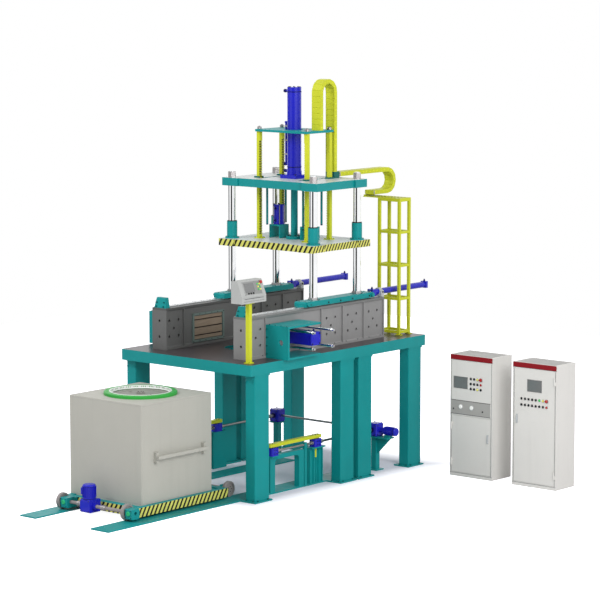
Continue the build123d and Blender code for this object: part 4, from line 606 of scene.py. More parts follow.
class Maker:
    """One piece under construction, in metres from the point under the tie bars."""

    def __init__(self, name):
        self.name = name
        self.bm = bmesh.new()

    def slab(self, centre, size, heading=Z_AXIS, along=X_AXIS):
        """A box round a centre; its size runs along, across and towards the heading."""
        heading = Vector(heading).normalized()
        along = Vector(along).normalized()
        turn = Matrix((along, heading.cross(along), heading)).transposed().to_4x4()
        place = Matrix.Translation(Vector(centre)) @ turn @ Matrix.Diagonal((*size, 1))
        bmesh.ops.create_cube(self.bm, size=1.0, matrix=place)

    def loops(self, profile, centre, axis, steps):
        """A ring of points for each (radius, height) of a profile; one point on the axis."""
        turn = Vector(axis).to_track_quat("Z", "X").to_matrix().to_4x4()
        place = Matrix.Translation(Vector(centre)) @ turn
        found = []
        for radius, height in profile:
            count = steps if radius else 1
            angles = [math.tau * step / count for step in range(count)]
            spots = [Vector((radius * math.cos(a), radius * math.sin(a), height)) for a in angles]
            found.append([self.bm.verts.new(place @ spot) for spot in spots])
        return found

    def turned(self, profile, centre, axis, steps):
        """A closed turned shape from (radius, height) points along an axis."""
        rings = self.loops(profile, centre, axis, steps)
        for lower, upper in zip(rings, rings[1:]):
            self.skin(lower, upper, steps)
        if len(rings[0]) > 1:
            self.bm.faces.new(rings[0][::-1])
        if len(rings[-1]) > 1:
            self.bm.faces.new(rings[-1])

    def ring(self, profile, centre, axis=Z_AXIS, steps=48):
        """A closed turned band whose profile doesn't reach the axis."""
        rings = self.loops(profile, centre, axis, steps)
        for lower, upper in zip(rings, rings[1:] + rings[:1]):
            self.skin(lower, upper, steps)

    def washer(self, inner, outer, height, centre, axis=Z_AXIS, steps=48):
        """A flat ring that stands on a surface."""
        self.ring(((inner, 0), (outer, 0), (outer, height), (inner, height)), centre, axis, steps)

    def skin(self, lower, upper, steps):
        """The faces between two rings, either of which may be one point."""
        for step in range(steps):
            after = (step + 1) % steps
            if len(lower) == 1:
                self.bm.faces.new((lower[0], upper[after], upper[step]))
            elif len(upper) == 1:
                self.bm.faces.new((lower[step], lower[after], upper[0]))
            else:
                self.bm.faces.new((lower[step], lower[after], upper[after], upper[step]))

    def drum(self, radius, start, end, steps=24, chamfer=0.0):
        """A round bar between two points, with chamfered ends."""
        start = Vector(start)
        run = Vector(end) - start
        length = run.length
        profile = [(radius, 0), (radius, length)]
        if chamfer:
            inner = radius - chamfer
            profile = [(inner, 0), (radius, chamfer), (radius, length - chamfer), (inner, length)]
        self.turned(profile, start, run.normalized(), steps)

    def button(self, radius, height, centre, heading, steps=20):
        """A domed button or cap on a surface."""
        profile = ((radius, 0), (radius, height * 0.6), (radius * 0.8, height), (0, height * 1.05))
        self.turned(profile, centre, heading, steps)

    def union(self, foot, way, nut, neck):
        """A pipe union on a surface: its nut and its neck, each a radius and an end height."""
        foot = Vector(foot)
        top = foot + nut[1] * way
        self.drum(nut[0], foot, top, 6)
        self.drum(neck[0], top, foot + neck[1] * way, 12)

    def coupling(self, foot, way, sleeve, collar, steps):
        """A shaft's sleeve (radius, length, chamfer) with a collar (radius, start, end)."""
        foot = Vector(foot)
        radius, length, chamfer = sleeve
        self.drum(radius, foot, foot + length * way, steps, chamfer)
        radius, start, end = collar
        self.drum(radius, foot + start * way, foot + end * way, steps, 0.002)

    def done(self, material, body, bevel=0.0):
        """Turn the piece into an object in the frame, riding on its body."""
        bmesh.ops.recalc_face_normals(self.bm, faces=self.bm.faces)
        bmesh.ops.translate(self.bm, verts=self.bm.verts, vec=ORIGIN)
        mesh = bpy.data.meshes.new(self.name)
        self.bm.to_mesh(mesh)
        self.bm.free()
        settle(mesh, self.name, material, body, bevel)


SHARP_ANGLE = math.radians(32)


def settle(mesh, name, material, body, bevel=0.0):
    """Shade a mesh, give it its material and let it ride on a body."""
    if material:
        mesh.materials.clear()
        mesh.materials.append(finish(material))
    mesh.shade_smooth()
    mesh.set_sharp_from_angle(angle=SHARP_ANGLE)
    thing = bpy.data.objects.new(name, mesh)
    bpy.context.scene.collection.objects.link(thing)
    if bevel:
        soft = thing.modifiers.new("soft_edges", "BEVEL")
        soft.width = bevel
        soft.segments = 2
        soft.limit_method = "ANGLE"
        soft.harden_normals = True
    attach(thing, body)


# Geometry Nodes trees for what repeats


def node_group(name, sockets):
    """A geometry tree with a geometry input, the named inputs and a geometry output."""
    tree = bpy.data.node_groups.new(name, "GeometryNodeTree")
    board = Board(tree)
    tree.interface.new_socket("Geometry", in_out="OUTPUT", socket_type="NodeSocketGeometry")
    tree.interface.new_socket("Geometry", in_out="INPUT", socket_type="NodeSocketGeometry")
    for title, kind in sockets:
        tree.interface.new_socket(title, in_out="INPUT", socket_type=kind)
    entry = board.add("NodeGroupInput")
    return tree, board, entry.outputs


def stand_on_points(board, entry, shape):
    """Set a shape on every point, turned by the points' own directions, and close the tree."""
    heading, along = (
        board.add("GeometryNodeInputNamedAttribute", {"Name": name}, data_type="FLOAT_VECTOR")
        for name in ("heading", "along")
    )
    upright = board.add("FunctionNodeAlignRotationToVector", {"Vector": heading.outputs[0]}, axis="Z")
    turned = board.add(
        "FunctionNodeAlignRotationToVector",
        {"Rotation": upright.outputs[0], "Vector": along.outputs[0]},
        axis="X",
        pivot_axis="Z",
    )
    stood = board.add(
        "GeometryNodeInstanceOnPoints",
        {"Points": entry["Geometry"], "Instance": shape, "Rotation": turned.outputs[0]},
    )
    real = board.add("GeometryNodeRealizeInstances", {"Geometry": stood.outputs[0]})
    dressed = board.add(
        "GeometryNodeSetMaterial", {"Geometry": real.outputs[0], "Material": entry["Finish"]}
    )
    board.add("NodeGroupOutput", {"Geometry": dressed.outputs[0]})


def pushed(board, mesh, faces, offset):
    """Faces pushed out of a mesh together, by an offset."""
    inputs = {"Mesh": mesh, "Selection": faces, "Offset Scale": offset, "Individual": False}
    return board.add("GeometryNodeExtrudeMesh", inputs, mode="FACES")


def screw_tree():
    """A screw head with a sunk drive on every point."""
    if "screw_heads" in bpy.data.node_groups:
        return bpy.data.node_groups["screw_heads"]
    sockets = (
        ("Head radius", "NodeSocketFloat"),
        ("Head height", "NodeSocketFloat"),
        ("Sides", "NodeSocketInt"),
        ("Drive share", "NodeSocketFloat"),
        ("Finish", "NodeSocketMaterial"),
    )
    tree, board, entry = node_group("screw_heads", sockets)
    head = board.add(
        "GeometryNodeMeshCylinder",
        {"Vertices": entry["Sides"], "Radius": entry["Head radius"], "Depth": entry["Head height"]},
        fill_type="NGON",
    )
    half = board.math("MULTIPLY", entry["Head height"], 0.5)
    lift = board.add("ShaderNodeCombineXYZ", {"Z": half})
    raised = board.add(
        "GeometryNodeTransform", {"Geometry": head.outputs["Mesh"], "Translation": lift.outputs[0]}
    )
    inset = pushed(board, raised.outputs[0], head.outputs["Top"], 0.0)
    sockets = {
        "Geometry": inset.outputs["Mesh"],
        "Selection": inset.outputs["Top"],
        "Scale": entry["Drive share"],
    }
    drive = board.add("GeometryNodeScaleElements", sockets, domain="FACE")
    depth = board.math("MULTIPLY", entry["Head height"], -0.55)
    sunk = pushed(board, drive.outputs[0], inset.outputs["Top"], depth)
    stand_on_points(board, entry, sunk.outputs["Mesh"])
    return tree


def bar_tree():
    """A flat bar on every point, its length along the point's own direction."""
    if "bars" in bpy.data.node_groups:
        return bpy.data.node_groups["bars"]
    sockets = (("Size", "NodeSocketVector"), ("Finish", "NodeSocketMaterial"))
    tree, board, entry = node_group("bars", sockets)
    bar = board.add("GeometryNodeMeshCube", {"Size": entry["Size"]})
    stand_on_points(board, entry, bar.outputs["Mesh"])
    return tree


def point_mesh(name, places):
    """Bare points, each with its heading and the way its long side runs."""
    mesh = bpy.data.meshes.new(name)
    mesh.from_pydata([Vector(place[0]) + ORIGIN for place in places], [], [])
    for title, column in (("heading", 1), ("along", 2)):
        layer = mesh.attributes.new(title, "FLOAT_VECTOR", "POINT")
        layer.data.foreach_set("vector", [part for place in places for part in place[column]])
    return mesh


def repeated(name, body, tree, values, places):
    """Run a tree over points, keep the plain mesh and let it ride on a body."""
    source = bpy.data.objects.new(name, point_mesh(name, places))
    nodes = source.modifiers.new("repeat", "NODES")
    nodes.node_group = tree
    for item in tree.interface.items_tree:
        if item.item_type == "SOCKET" and item.in_out == "INPUT" and item.name in values:
            nodes[item.identifier] = values[item.name]
    bpy.context.scene.collection.objects.link(source)
    graph = bpy.context.evaluated_depsgraph_get()
    mesh = bpy.data.meshes.new_from_object(source.evaluated_get(graph))
    source.modifiers.remove(nodes)
    bpy.data.objects.remove(source)
    mesh.name = name
    settle(mesh, name, None, body)


def screws(name, body, places, radius=None, height=None, sides=14, drive=0.55, material="dark_screws"):
    """Screw heads at (place, heading) pairs."""
    common = sizes()
    values = {
        "Head radius": radius or common.screw_head,
        "Head height": height or common.screw_height,
        "Sides": sides,
        "Drive share": drive,
        "Finish": finish(material),
    }
    full = [(spot, heading, across(heading)) for spot, heading in places]
    repeated(name, body, screw_tree(), values, full)


def nuts(name, body, places, radius, height, material="dark_screws"):
    """Hexagons with a sunk middle at (place, heading) pairs."""
    screws(name, body, places, radius, height, 6, 0.6, material)


def bars(name, body, places, size, material):
    """Flat bars at (place, heading, along) places."""
    values = {"Size": Vector(size), "Finish": finish(material)}
    repeated(name, body, bar_tree(), values, places)


def at(x, y, z, heading=Z_AXIS):
    """A place and the heading of what stands on it."""
    return Vector((x, y, z)), heading


def across(heading):
    """A direction square to a heading."""
    heading = Vector(heading)
    return X_AXIS if abs(heading.x) < 0.5 else Y_AXIS


def steps_between(start, end, count):
    """Evenly spaced values from start to end."""
    return [start + (end - start) * step / (count - 1) for step in range(count)]


def round_places(centre, radius, count, heading, offset=0.0):
    """Places on a circle round a centre, all with one heading."""
    heading = Vector(heading)
    first = across(heading)
    second = heading.cross(first)
    found = []
    for step in range(count):
        angle = math.tau * (step + offset) / count
        spot = Vector(centre) + radius * (math.cos(angle) * first + math.sin(angle) * second)
        found.append((spot, heading))
    return found


def corner_places(centre, half_first, half_second, heading):
    """Four places at the corners of a rectangle that faces a heading."""
    heading = Vector(heading)
    first = across(heading)
    second = heading.cross(first)
    centre = Vector(centre)
    corners = [(a * half_first, b * half_second) for a in SIDES for b in SIDES]
    return [(centre + a * first + b * second, heading) for a, b in corners]


def fins(centre, axis, radius, count, height):
    """Places of cooling fins round a motor, each standing out from its axis."""
    around = round_places(centre, radius + height / 2, count, axis)
    return [(spot, (spot - Vector(centre)).normalized(), axis) for spot, _ in around]


# The pieces


def frame_screws():
    """Screws under the plate, painted with the frame, and nuts of the column feet in the frame's teal
    darkened as painted shade.
    """
    under = []
    feet = []
    foot_z = 0.022
    ledge = 0.016
    for side in SIDES:
        outer = side * (COLUMN_X + COLUMN_HALF_X + ledge)
        for y in COLUMN_ROWS:
            front = y - COLUMN_HALF_Y
            for shift in SIDES:
                x = side * COLUMN_X + shift * 0.066
                under.append(at(x, front, PLATE_BOTTOM - 0.1, -Y_AXIS))
                feet.append(at(x, front - ledge, foot_z))
                feet.append(at(outer, y + shift * 0.11, foot_z))
    screws("column_screws", "machine", under, 0.013, 0.01, material="teal_paint")
    # The feet's nuts in the frame's teal darkened as painted shade.
    nuts("anchor_nuts", "machine", feet, 0.012, 0.016, "shaded_teal_paint")


def rail_screws():
    """Sunk screws of the guide strips, screws of the rails' foot flanges and the stop blocks."""
    low, high = span("guide_strips")
    block = span("stop_blocks")[0]
    stop_heading = Vector((0, -1, STOP_LEAN)).normalized()
    strips = []
    feet = []
    stops = []
    for side in SIDES:
        for shift in SIDES:
            for y in steps_between(low.y + 0.06, high.y - 0.06, 16):
                strips.append(at(side * RAIL_X + shift * 0.025, y, high.z))
            for rise in (0.02, 0.08):
                y = block.y + STOP_LEAN * rise
                stops.append(at(side * RAIL_X + shift * 0.07, y, block.z + rise, stop_heading))
        for y in steps_between(low.y - 0.06, high.y - 0.08, 12):
            feet.append(at(side * (RAIL_X + 0.129), y, PLATE_TOP + 0.032))
    screws("strip_screws", "machine", strips, 0.008, 0.0015, drive=0.6)
    screws("rail_foot_screws", "machine", feet, 0.009, 0.009, drive=0.5)
    # The stop blocks' screws in the frame's teal darkened as painted shade.
    screws("stop_screws", "machine", stops, 0.012, 0.012, material="shaded_teal_paint")


def core_fittings():
    """Screws of the side cores' brackets, frames and cylinders, and nuts on the rod ends."""
    bracket_low, bracket_high = span("core_brackets")
    block_low, block_high = span("core_cylinders")
    frame_low, frame_high = span("core_frames")
    block_z = middle("core_cylinders").z
    inset = 0.017
    edge = []
    ends = []
    window = []
    unions = Maker("core_unions")
    for side in SIDES:
        outer = side * block_high.x
        ends += corner_places((outer, CORE.y, block_z), 0.082, 0.072, side * X_AXIS)
        for z in steps_between(bracket_low.z + 0.06, bracket_high.z - 0.06, 4):
            edge.append(at(side * (RAIL_X + 0.165), bracket_low.y, z, -Y_AXIS))
        for x in steps_between(RAIL_X + 0.2, bracket_high.x - 0.04, 4):
            edge.append(at(side * x, bracket_low.y + 0.015, bracket_high.z))
        for y in steps_between(frame_low.y + inset, frame_high.y - inset, 6):
            for z in (frame_low.z + inset, frame_high.z - inset):
                window.append(at(side * CORE_FACE, y, z, -side * X_AXIS))
        for y in (block_low.y + 0.05, block_high.y - 0.05):
            unions.union((outer - side * 0.09, y, block_high.z), Z_AXIS, (0.016, 0.02), (0.01, 0.034))
    screws("core_block_screws", "machine", ends, 0.011, 0.01)
    # The brackets' screws in the frame's teal darkened as painted shade.
    screws("bracket_screws", "machine", edge, 0.01, 0.009, material="shaded_teal_paint")
    screws("window_screws", "machine", window, 0.007, 0.004)
    unions.done("navy_paint", "machine")
    rod_end = span("right_core_plate")[1].x - 0.03
    for body, side in (("left_core", -1), ("right_core", 1)):
        places = corner_places((side * rod_end, CORE.y, CORE.z), 0.215, 0.118, -side * X_AXIS)
        nuts(body + "_nuts", body, places, 0.026, 0.018, "ground_steel")


def tie_bar_places(height):
    """The four tie bars' places at a height."""
    return corner_places((0, 0, height), RAIL_X, TIE_Y, Z_AXIS)


def rack_places(height):
    """The four racks' places at a height."""
    return corner_places((0, 0, height), RACK_X, RACK_Y, Z_AXIS)


def carriage_screws():
    """Dark screws along the carriage bars and round each tie bar's foot."""
    low, high = span("carriage_bars")
    sides = []
    collars = []
    for foot, up in tie_bar_places(CARRIAGE_TOP):
        collars += round_places(foot, 0.094, 6, up)
    for side in SIDES:
        outer = side * (RAIL_X + 0.105)
        for y in (low.y + 0.12, -0.28, 0.0, 0.28, high.y - 0.12):
            sides.append(at(outer, y, low.z + 0.03, side * X_AXIS))
        for y in (low.y + 0.05, high.y - 0.05):
            for inward in (0.05, 0.16):
                collars.append(at(outer - side * inward, y, CARRIAGE_TOP))
    screws("carriage_side_screws", "carriage", sides, 0.012, 0.008)
    screws("collar_screws", "carriage", collars, 0.008, 0.007)


def platen_screws():
    """Screws and wipers of the guide sleeves, screws of the racks' feet and the rod's flange."""
    small = []
    for foot, up in tie_bar_places(PLATEN_TOP + 0.022):
        small += round_places(foot, 0.091, 6, up, 0.5)
    for foot, up in rack_places(PLATEN_TOP + 0.014):
        small += corner_places(foot, 0.046, 0.046, up)
    screws("sleeve_screws", "platen", small, 0.008, 0.007)
    rod_flange = round_places((0, 0, PLATEN_TOP + 0.046), 0.092, 8, Z_AXIS)
    screws("rod_flange_screws", "platen", rod_flange, 0.013, 0.012)
    wipers = Maker("sleeve_wipers")
    profile = ((0.0612, 0), (0.074, 0), (0.074, 0.008), (0.066, 0.014), (0.0612, 0.014))
    for foot, up in tie_bar_places(span("guide_sleeves")[1].z):
        wipers.ring(profile, foot, up)
    wipers.done("black_plastic", "platen")


def ejector_fittings():
    """Tie rods, nuts and unions of the two ejector cylinders."""
    low, high = span("ejector_cylinders")
    rods = Maker("ejector_tie_rods")
    unions = Maker("ejector_unions")
    caps = []
    for side in SIDES:
        x = side * EJECTOR_X
        for foot, up in corner_places((x, 0, low.z + 0.01), 0.062, 0.062, Z_AXIS):
            rods.drum(0.007, foot, foot + (high.z - low.z - 0.02) * up, 10)
        for z in (low.z + 0.06, high.z - 0.06):
            unions.union((x, -0.076, z), -Y_AXIS, (0.018, 0.014), (0.011, 0.03))
        caps += corner_places((x, 0, high.z), 0.052, 0.052, Z_AXIS)
    rods.done("shaft_steel", "platen")
    unions.done("navy_paint", "platen")
    screws("ejector_cap_nuts", "platen", caps, 0.012, 0.012, sides=6)


def cylinder_fittings():
    """Ports, bands and pipe clips of the main cylinder, and screws of its flange and cap."""
    low, high = span("main_cylinder")
    flange_top = span("upper_platen")[1].z + 0.052
    ports = Maker("main_cylinder_ports")
    for z in (high.z - 0.06, flange_top + 0.05, flange_top + 0.155):
        start = Vector((low.x, 0, z))
        ports.drum(0.027, start + 0.032 * X_AXIS, start + 0.004 * X_AXIS, 6)
        ports.drum(0.024, start + 0.05 * X_AXIS, start + 0.036 * X_AXIS, 20)
    ports.done("navy_paint", "carriage")
    clips = Maker("pipe_clips")
    for z in steps_between(flange_top + 0.3, flange_top + 0.72, 3):
        clips.slab((-0.135, 0, z), (0.075, 0.05, 0.022))
    clips.done("shaft_steel", "carriage", 0.003)
    bands = Maker("main_cylinder_bands")
    for z in (high.z - 0.075, flange_top + 0.11):
        bands.ring(((0.104, 0), (0.111, 0.002), (0.111, 0.012), (0.104, 0.014)), (0, 0, z))
    bands.done("navy_paint", "carriage")
    flange = corner_places((0, 0, flange_top), 0.124, 0.124, Z_AXIS)
    screws("main_flange_screws", "carriage", flange)
    cap = round_places((0, 0, high.z), 0.085, 8, Z_AXIS)
    screws("main_cap_screws", "carriage", cap, 0.01, 0.01)


def crown_nuts():
    """The round nuts on the crown plate, one over each rack."""
    top = span("crown_plate")[1].z
    height = 0.04
    rounds = Maker("crown_nuts")
    profile = ((0.03, 0), (0.032, 0.003), (0.032, 0.034), (0.026, height), (0, height))
    for foot, up in rack_places(top):
        rounds.turned(profile, foot, up, 28)
    rounds.done("shaft_steel", "platen")
    nuts("crown_nut_sockets", "platen", rack_places(top + height), 0.014, 0.006)


def chain_path():
    """Where the links' joints lie along both drag chains' middle lines, as (y, z) pairs."""
    low, high = span("crown_chain")
    pitch = sizes().link_pitch
    radius = (high.y - low.y) / 2 - CHAIN_HALF
    middle_y = (high.y + low.y) / 2
    top = high.z - CHAIN_HALF - radius
    start = span("crown_plate")[1].z + 0.04
    upright = [(middle_y - radius, z) for z in steps_between(start, top, 7)]
    upright += arc_places(middle_y, top, radius, math.pi, 0.0, pitch)
    upright += [(middle_y + radius, z) for z in steps_between(top, low.z + 0.04, 14)]
    low, high = span("platen_chain")
    radius = (high.z - low.z) / 2 - CHAIN_HALF
    centre_y = high.y - CHAIN_HALF - radius
    centre_z = (low.z + high.z) / 2
    level = [(y, centre_z + radius) for y in steps_between(low.y + 0.04, centre_y, 14)]
    level += arc_places(centre_y, centre_z, radius, math.pi / 2, -math.pi / 2, pitch)
    level += [(y, centre_z - radius) for y in steps_between(centre_y, CHAIN_END_Y, 4)]
    return upright, level


def arc_places(centre_y, centre_z, radius, start, end, pitch):
    """Places along an arc in the upright plane of the chains."""
    count = max(3, round(abs(end - start) * radius / pitch))
    angles = steps_between(start, end, count + 1)[1:-1]
    return [(centre_y + radius * math.cos(a), centre_z + radius * math.sin(a)) for a in angles]


def chain_fittings():
    """Pins on both sides of every link, and the clamps at the level chain's two ends."""
    upright, level = chain_path()
    half = span("crown_chain")[1].x - CHAIN_X
    for name, body, spots in (("crown_chain", "carriage", upright), ("platen_chain", "machine", level)):
        pins = [at(CHAIN_X + side * half, y, z, side * X_AXIS) for y, z in spots for side in SIDES]
        # The pins are the chain's yellow made lighter as a painted highlight.
        screws(name + "_pins", body, pins, 0.012, 0.003, drive=0.6, material="yellow_highlight_paint")
    clamps = Maker("chain_end_clamps")
    upper_y = span("platen_chain")[0].y + 0.012
    for y, z, height in ((upper_y, 4.482, 0.07), (CHAIN_END_Y - 0.028, 4.15, 0.06)):
        clamps.slab((CHAIN_X, y, z), (2 * half + 0.012, 0.022, height))
    clamps.done("shaft_steel", "machine", 0.003)


def tower_fittings():
    """Slots in the chain's tray and screws of the tower's feet."""
    floor_z = span("chain_tower")[0].z
    slots = []
    for x in steps_between(0.56, 0.94, 7):
        for y in steps_between(1.33, 1.49, 3):
            slots.append((Vector((x, y, TRAY_TOP)), Z_AXIS, X_AXIS))
    bars("tray_slots", "machine", slots, (0.036, 0.01, 0.002), "black_plastic")
    feet = Maker("tower_feet")
    thick = 0.01
    places = []
    for x in TOWER_POST_X:
        for y in TOWER_POST_Y:
            for way in SIDES:
                feet.slab((x + way * 0.035, y, floor_z + thick / 2), (0.03, 0.06, thick))
                places.append(at(x + way * 0.037, y, floor_z + thick))
    feet.done("yellow_paint", "machine", 0.001)
    screws("tower_foot_screws", "machine", places, 0.008, 0.008)


def rear_cylinder_fittings():
    """Head screws, unions and glands of the two rear cylinders, and the trunnions' screws."""
    low, high = span("rear_cylinders")
    axis_z = span("push_rods")[1].z - 0.036
    unions = Maker("rear_unions")
    glands = Maker("rod_glands")
    heads = []
    holders = []
    for side in SIDES:
        x = side * RAIL_X
        for y in (low.y + 0.045, high.y - 0.024):
            unions.union((x, y, axis_z + 0.051), Z_AXIS, (0.017, 0.016), (0.011, 0.034))
        glands.washer(0.0226, 0.036, -0.012, (x, low.y, axis_z), Y_AXIS, 28)
        heads += corner_places((x, low.y, axis_z), 0.04, 0.036, -Y_AXIS)
        for way in SIDES:
            holders.append(at(x + way * 0.07, TRUNNION_Y + 0.03, TRUNNION_SCREW_Z, Y_AXIS))
            holders.append(at(x + way * 0.084, TRUNNION_Y, axis_z, way * X_AXIS))
    unions.done("navy_paint", "machine")
    glands.done("shaft_steel", "machine")
    screws("rear_head_screws", "machine", heads, 0.008, 0.007)
    screws("trunnion_screws", "machine", holders, 0.013, 0.008)


CONSOLE_KEYS = (
    ("console_green_keys", "green_lens", ((0.13, 0.17), (0.17, 0.13), (0.13, 0.09))),
    ("console_yellow_keys", "yellow_lens", ((0.17, 0.17), (0.13, 0.13), (0.17, 0.09))),
    ("console_dark_keys", "black_plastic", ((-0.1, 0.045), (-0.05, 0.045), (0.0, 0.045))),
)


def console_fittings():
    """The operator console's panel with its screen and buttons, its ledge and its aerial."""
    low, high = span("console")
    nose_z = low.z + 0.096
    slope = Vector((-0.09, 0, high.z - nose_z)).normalized()
    out = Vector((slope.z, 0, -slope.x))
    base = Vector((high.x, (low.y + high.y) / 2, nose_z))

    def on_face(y, up, lift=0.0):
        """A place on the sloping face, from the middle of its lower edge."""
        return base + slope * up + out * lift + Y_AXIS * y

    panel = Maker("console_panel")
    panel.slab(on_face(0.01, 0.122, 0.001), (0.36, 0.19, 0.004), out, Y_AXIS)
    panel.done("console_panel", "machine", 0.001)
    rim = Maker("console_rim")
    for way in SIDES:
        rim.slab(on_face(0.01 + way * 0.182, 0.122, 0.002), (0.006, 0.2, 0.008), out, Y_AXIS)
        rim.slab(on_face(0.01, 0.122 + way * 0.097, 0.002), (0.37, 0.006, 0.008), out, Y_AXIS)
    rim.slab((high.x - 0.02, base.y, nose_z - 0.012), (0.05, 0.47, 0.006))
    rim.done("console_coat", "machine", 0.001)
    screen = Maker("console_screen")
    screen.slab(on_face(-0.05, 0.13, 0.004), (0.2, 0.13, 0.004), out, Y_AXIS)
    screen.done("screen_glass", "machine", 0.001)
    line = Maker("console_ledge_line")
    line.slab((high.x, base.y, nose_z - 0.028), (0.003, 0.4, 0.006))
    line.slab((high.x, base.y, low.z + 0.03), (0.002, 0.44, 0.003))
    line.done("black_plastic", "machine")
    for name, material, spots in CONSOLE_KEYS:
        keys = Maker(name)
        for y, up in spots:
            keys.button(0.013, 0.014, on_face(y, up, 0.002), out)
        keys.done(material, "machine")
    stop = Maker("console_stop_key")
    stop.drum(0.012, on_face(0.2, 0.19), on_face(0.2, 0.19, 0.02))
    stop.button(0.024, 0.018, on_face(0.2, 0.19, 0.018), out)
    stop.done("red_lens", "machine")
    aerial = Maker("console_aerial")
    foot = Vector((low.x + 0.03, low.y + 0.03, high.z))
    aerial.drum(0.011, foot - 0.002 * Z_AXIS, foot + 0.02 * Z_AXIS, 16, 0.003)
    aerial.drum(0.004, foot + 0.02 * Z_AXIS, foot + 0.16 * Z_AXIS, 10, 0.001)
    aerial.done("black_plastic", "machine")
    clamp = Maker("console_clamp")
    clamp.slab((POST_X, POST_Y, low.z - 0.008), (0.12, 0.12, 0.016))
    clamp.done("yellow_paint", "machine", 0.003)
    post_foot = corner_places((POST_X, POST_Y, PLATE_TOP + 0.0125), 0.041, 0.041, Z_AXIS)
    screws("console_foot_screws", "machine", post_foot, 0.007, 0.007)


def furnace_fittings():
    """The furnace's white inner rim, ring screws, lid handle and screws, and thin panel seams."""
    low, high = span("furnace")
    top = span("furnace_ring")[1].z
    centre = Vector((0, middle("furnace_ring").y, 0))
    rim = Maker("furnace_rim")
    profile = ((0.424, -0.036), (0.424, 0.0), (0.43, 0.004), (0.444, 0.004), (0.446, -0.001), (0.41, -0.036))
    rim.ring(profile, centre + top * Z_AXIS, steps=96)
    rim.done("white_rim", "trolley")
    places = round_places(centre + (top - 0.001) * Z_AXIS, 0.485, 16, Z_AXIS, 0.5)
    screws("ring_screws", "trolley", places, 0.011, 0.004, drive=0.5, material="ring_paint")
    handle = Maker("lid_handle")
    for way in SIDES:
        foot = centre + Vector((way * 0.2, 0, high.z))
        handle.drum(0.012, foot, foot + 0.012 * Z_AXIS, 16)
        handle.washer(0.02, 0.03, 0.006, foot, steps=20)
    handle.washer(0.3, 0.306, 0.004, centre + high.z * Z_AXIS, steps=64)
    handle.done("lid_metal", "trolley")
    lid_top = span("furnace_lid")[1].z
    places = round_places(centre + lid_top * Z_AXIS, 0.04, 6, Z_AXIS)
    screws("lid_screws", "trolley", places, 0.007, 0.006)
    seams = Maker("furnace_seams")
    side_y = (FURNACE_FRONT + FURNACE_BACK) / 2
    for z in (low.z + 0.03, high.z - 0.022):
        seams.slab((0, FURNACE_FRONT, z), (2 * FURNACE_HALF - 0.04, 0.002, 0.003))
        for way in SIDES:
            seams.slab((way * FURNACE_HALF, side_y, z), (0.002, 1.41, 0.003))
    seams.done("band_grey", "trolley")


def trolley_fittings():
    """Hub caps and housing screws of the trolley, and fins, seams and screws of its motor."""
    low, high = span("trolley_motor")
    wheels_low = span("front_wheels")[0]
    housing_low, housing_high = span("wheel_housings")
    face = housing_low.y
    axle_z = middle("front_wheels").z
    caps = Maker("hub_caps")
    profile = ((0.034, 0), (0.034, 0.008), (0.028, 0.014), (0.012, 0.014), (0.01, 0.01), (0, 0.01))
    places = []
    for x in (housing_high.x - 0.066, wheels_low.x + 0.121):
        caps.turned(profile, (x, face, axle_z), -Y_AXIS, 32)
        places += corner_places((x, face, axle_z - 0.006), 0.05, 0.05, -Y_AXIS)
    caps.done("hub_green", "trolley")
    screws("housing_screws", "trolley", places, 0.006, 0.005)
    fin = sizes().fin
    ribs = fins((MOTOR_X, MOTOR_Y, high.z - 0.105), Z_AXIS, 0.092, 26, fin)
    bars("trolley_motor_fins", "trolley", ribs, (0.15, 0.003, fin), "blue_paint")
    seam = Maker("trolley_motor_seams")
    seam.washer(0.0915, 0.094, 0.006, (MOTOR_X, MOTOR_Y, high.z - 0.206))
    seam.washer(0.0915, 0.0945, 0.004, (MOTOR_X, MOTOR_Y, high.z - 0.034))
    seam.done("navy_paint", "trolley")
    ports = corner_places((MOTOR_X, low.y, axle_z), 0.074, 0.074, -Y_AXIS)
    screws("trolley_gear_screws", "trolley", ports, 0.007, 0.006)


def wheel_fittings():
    """Screws round the right rear wheel's hub, and couplings on the driven axle."""
    hub = middle("rear_wheels")
    places = round_places((0.7171, hub.y, hub.z), 0.036, 5, X_AXIS)
    screws("rear_wheels_screws", "rear_axle", places, 0.006, 0.004)
    sleeves = Maker("axle_couplings")
    axle = middle("front_wheels")
    for x in (0.2, -0.26):
        sleeves.coupling((x, axle.y, axle.z), X_AXIS, (0.036, 0.09, 0.004), (0.04, 0.038, 0.052), 28)
    sleeves.done("shaft_steel", "front_axle")


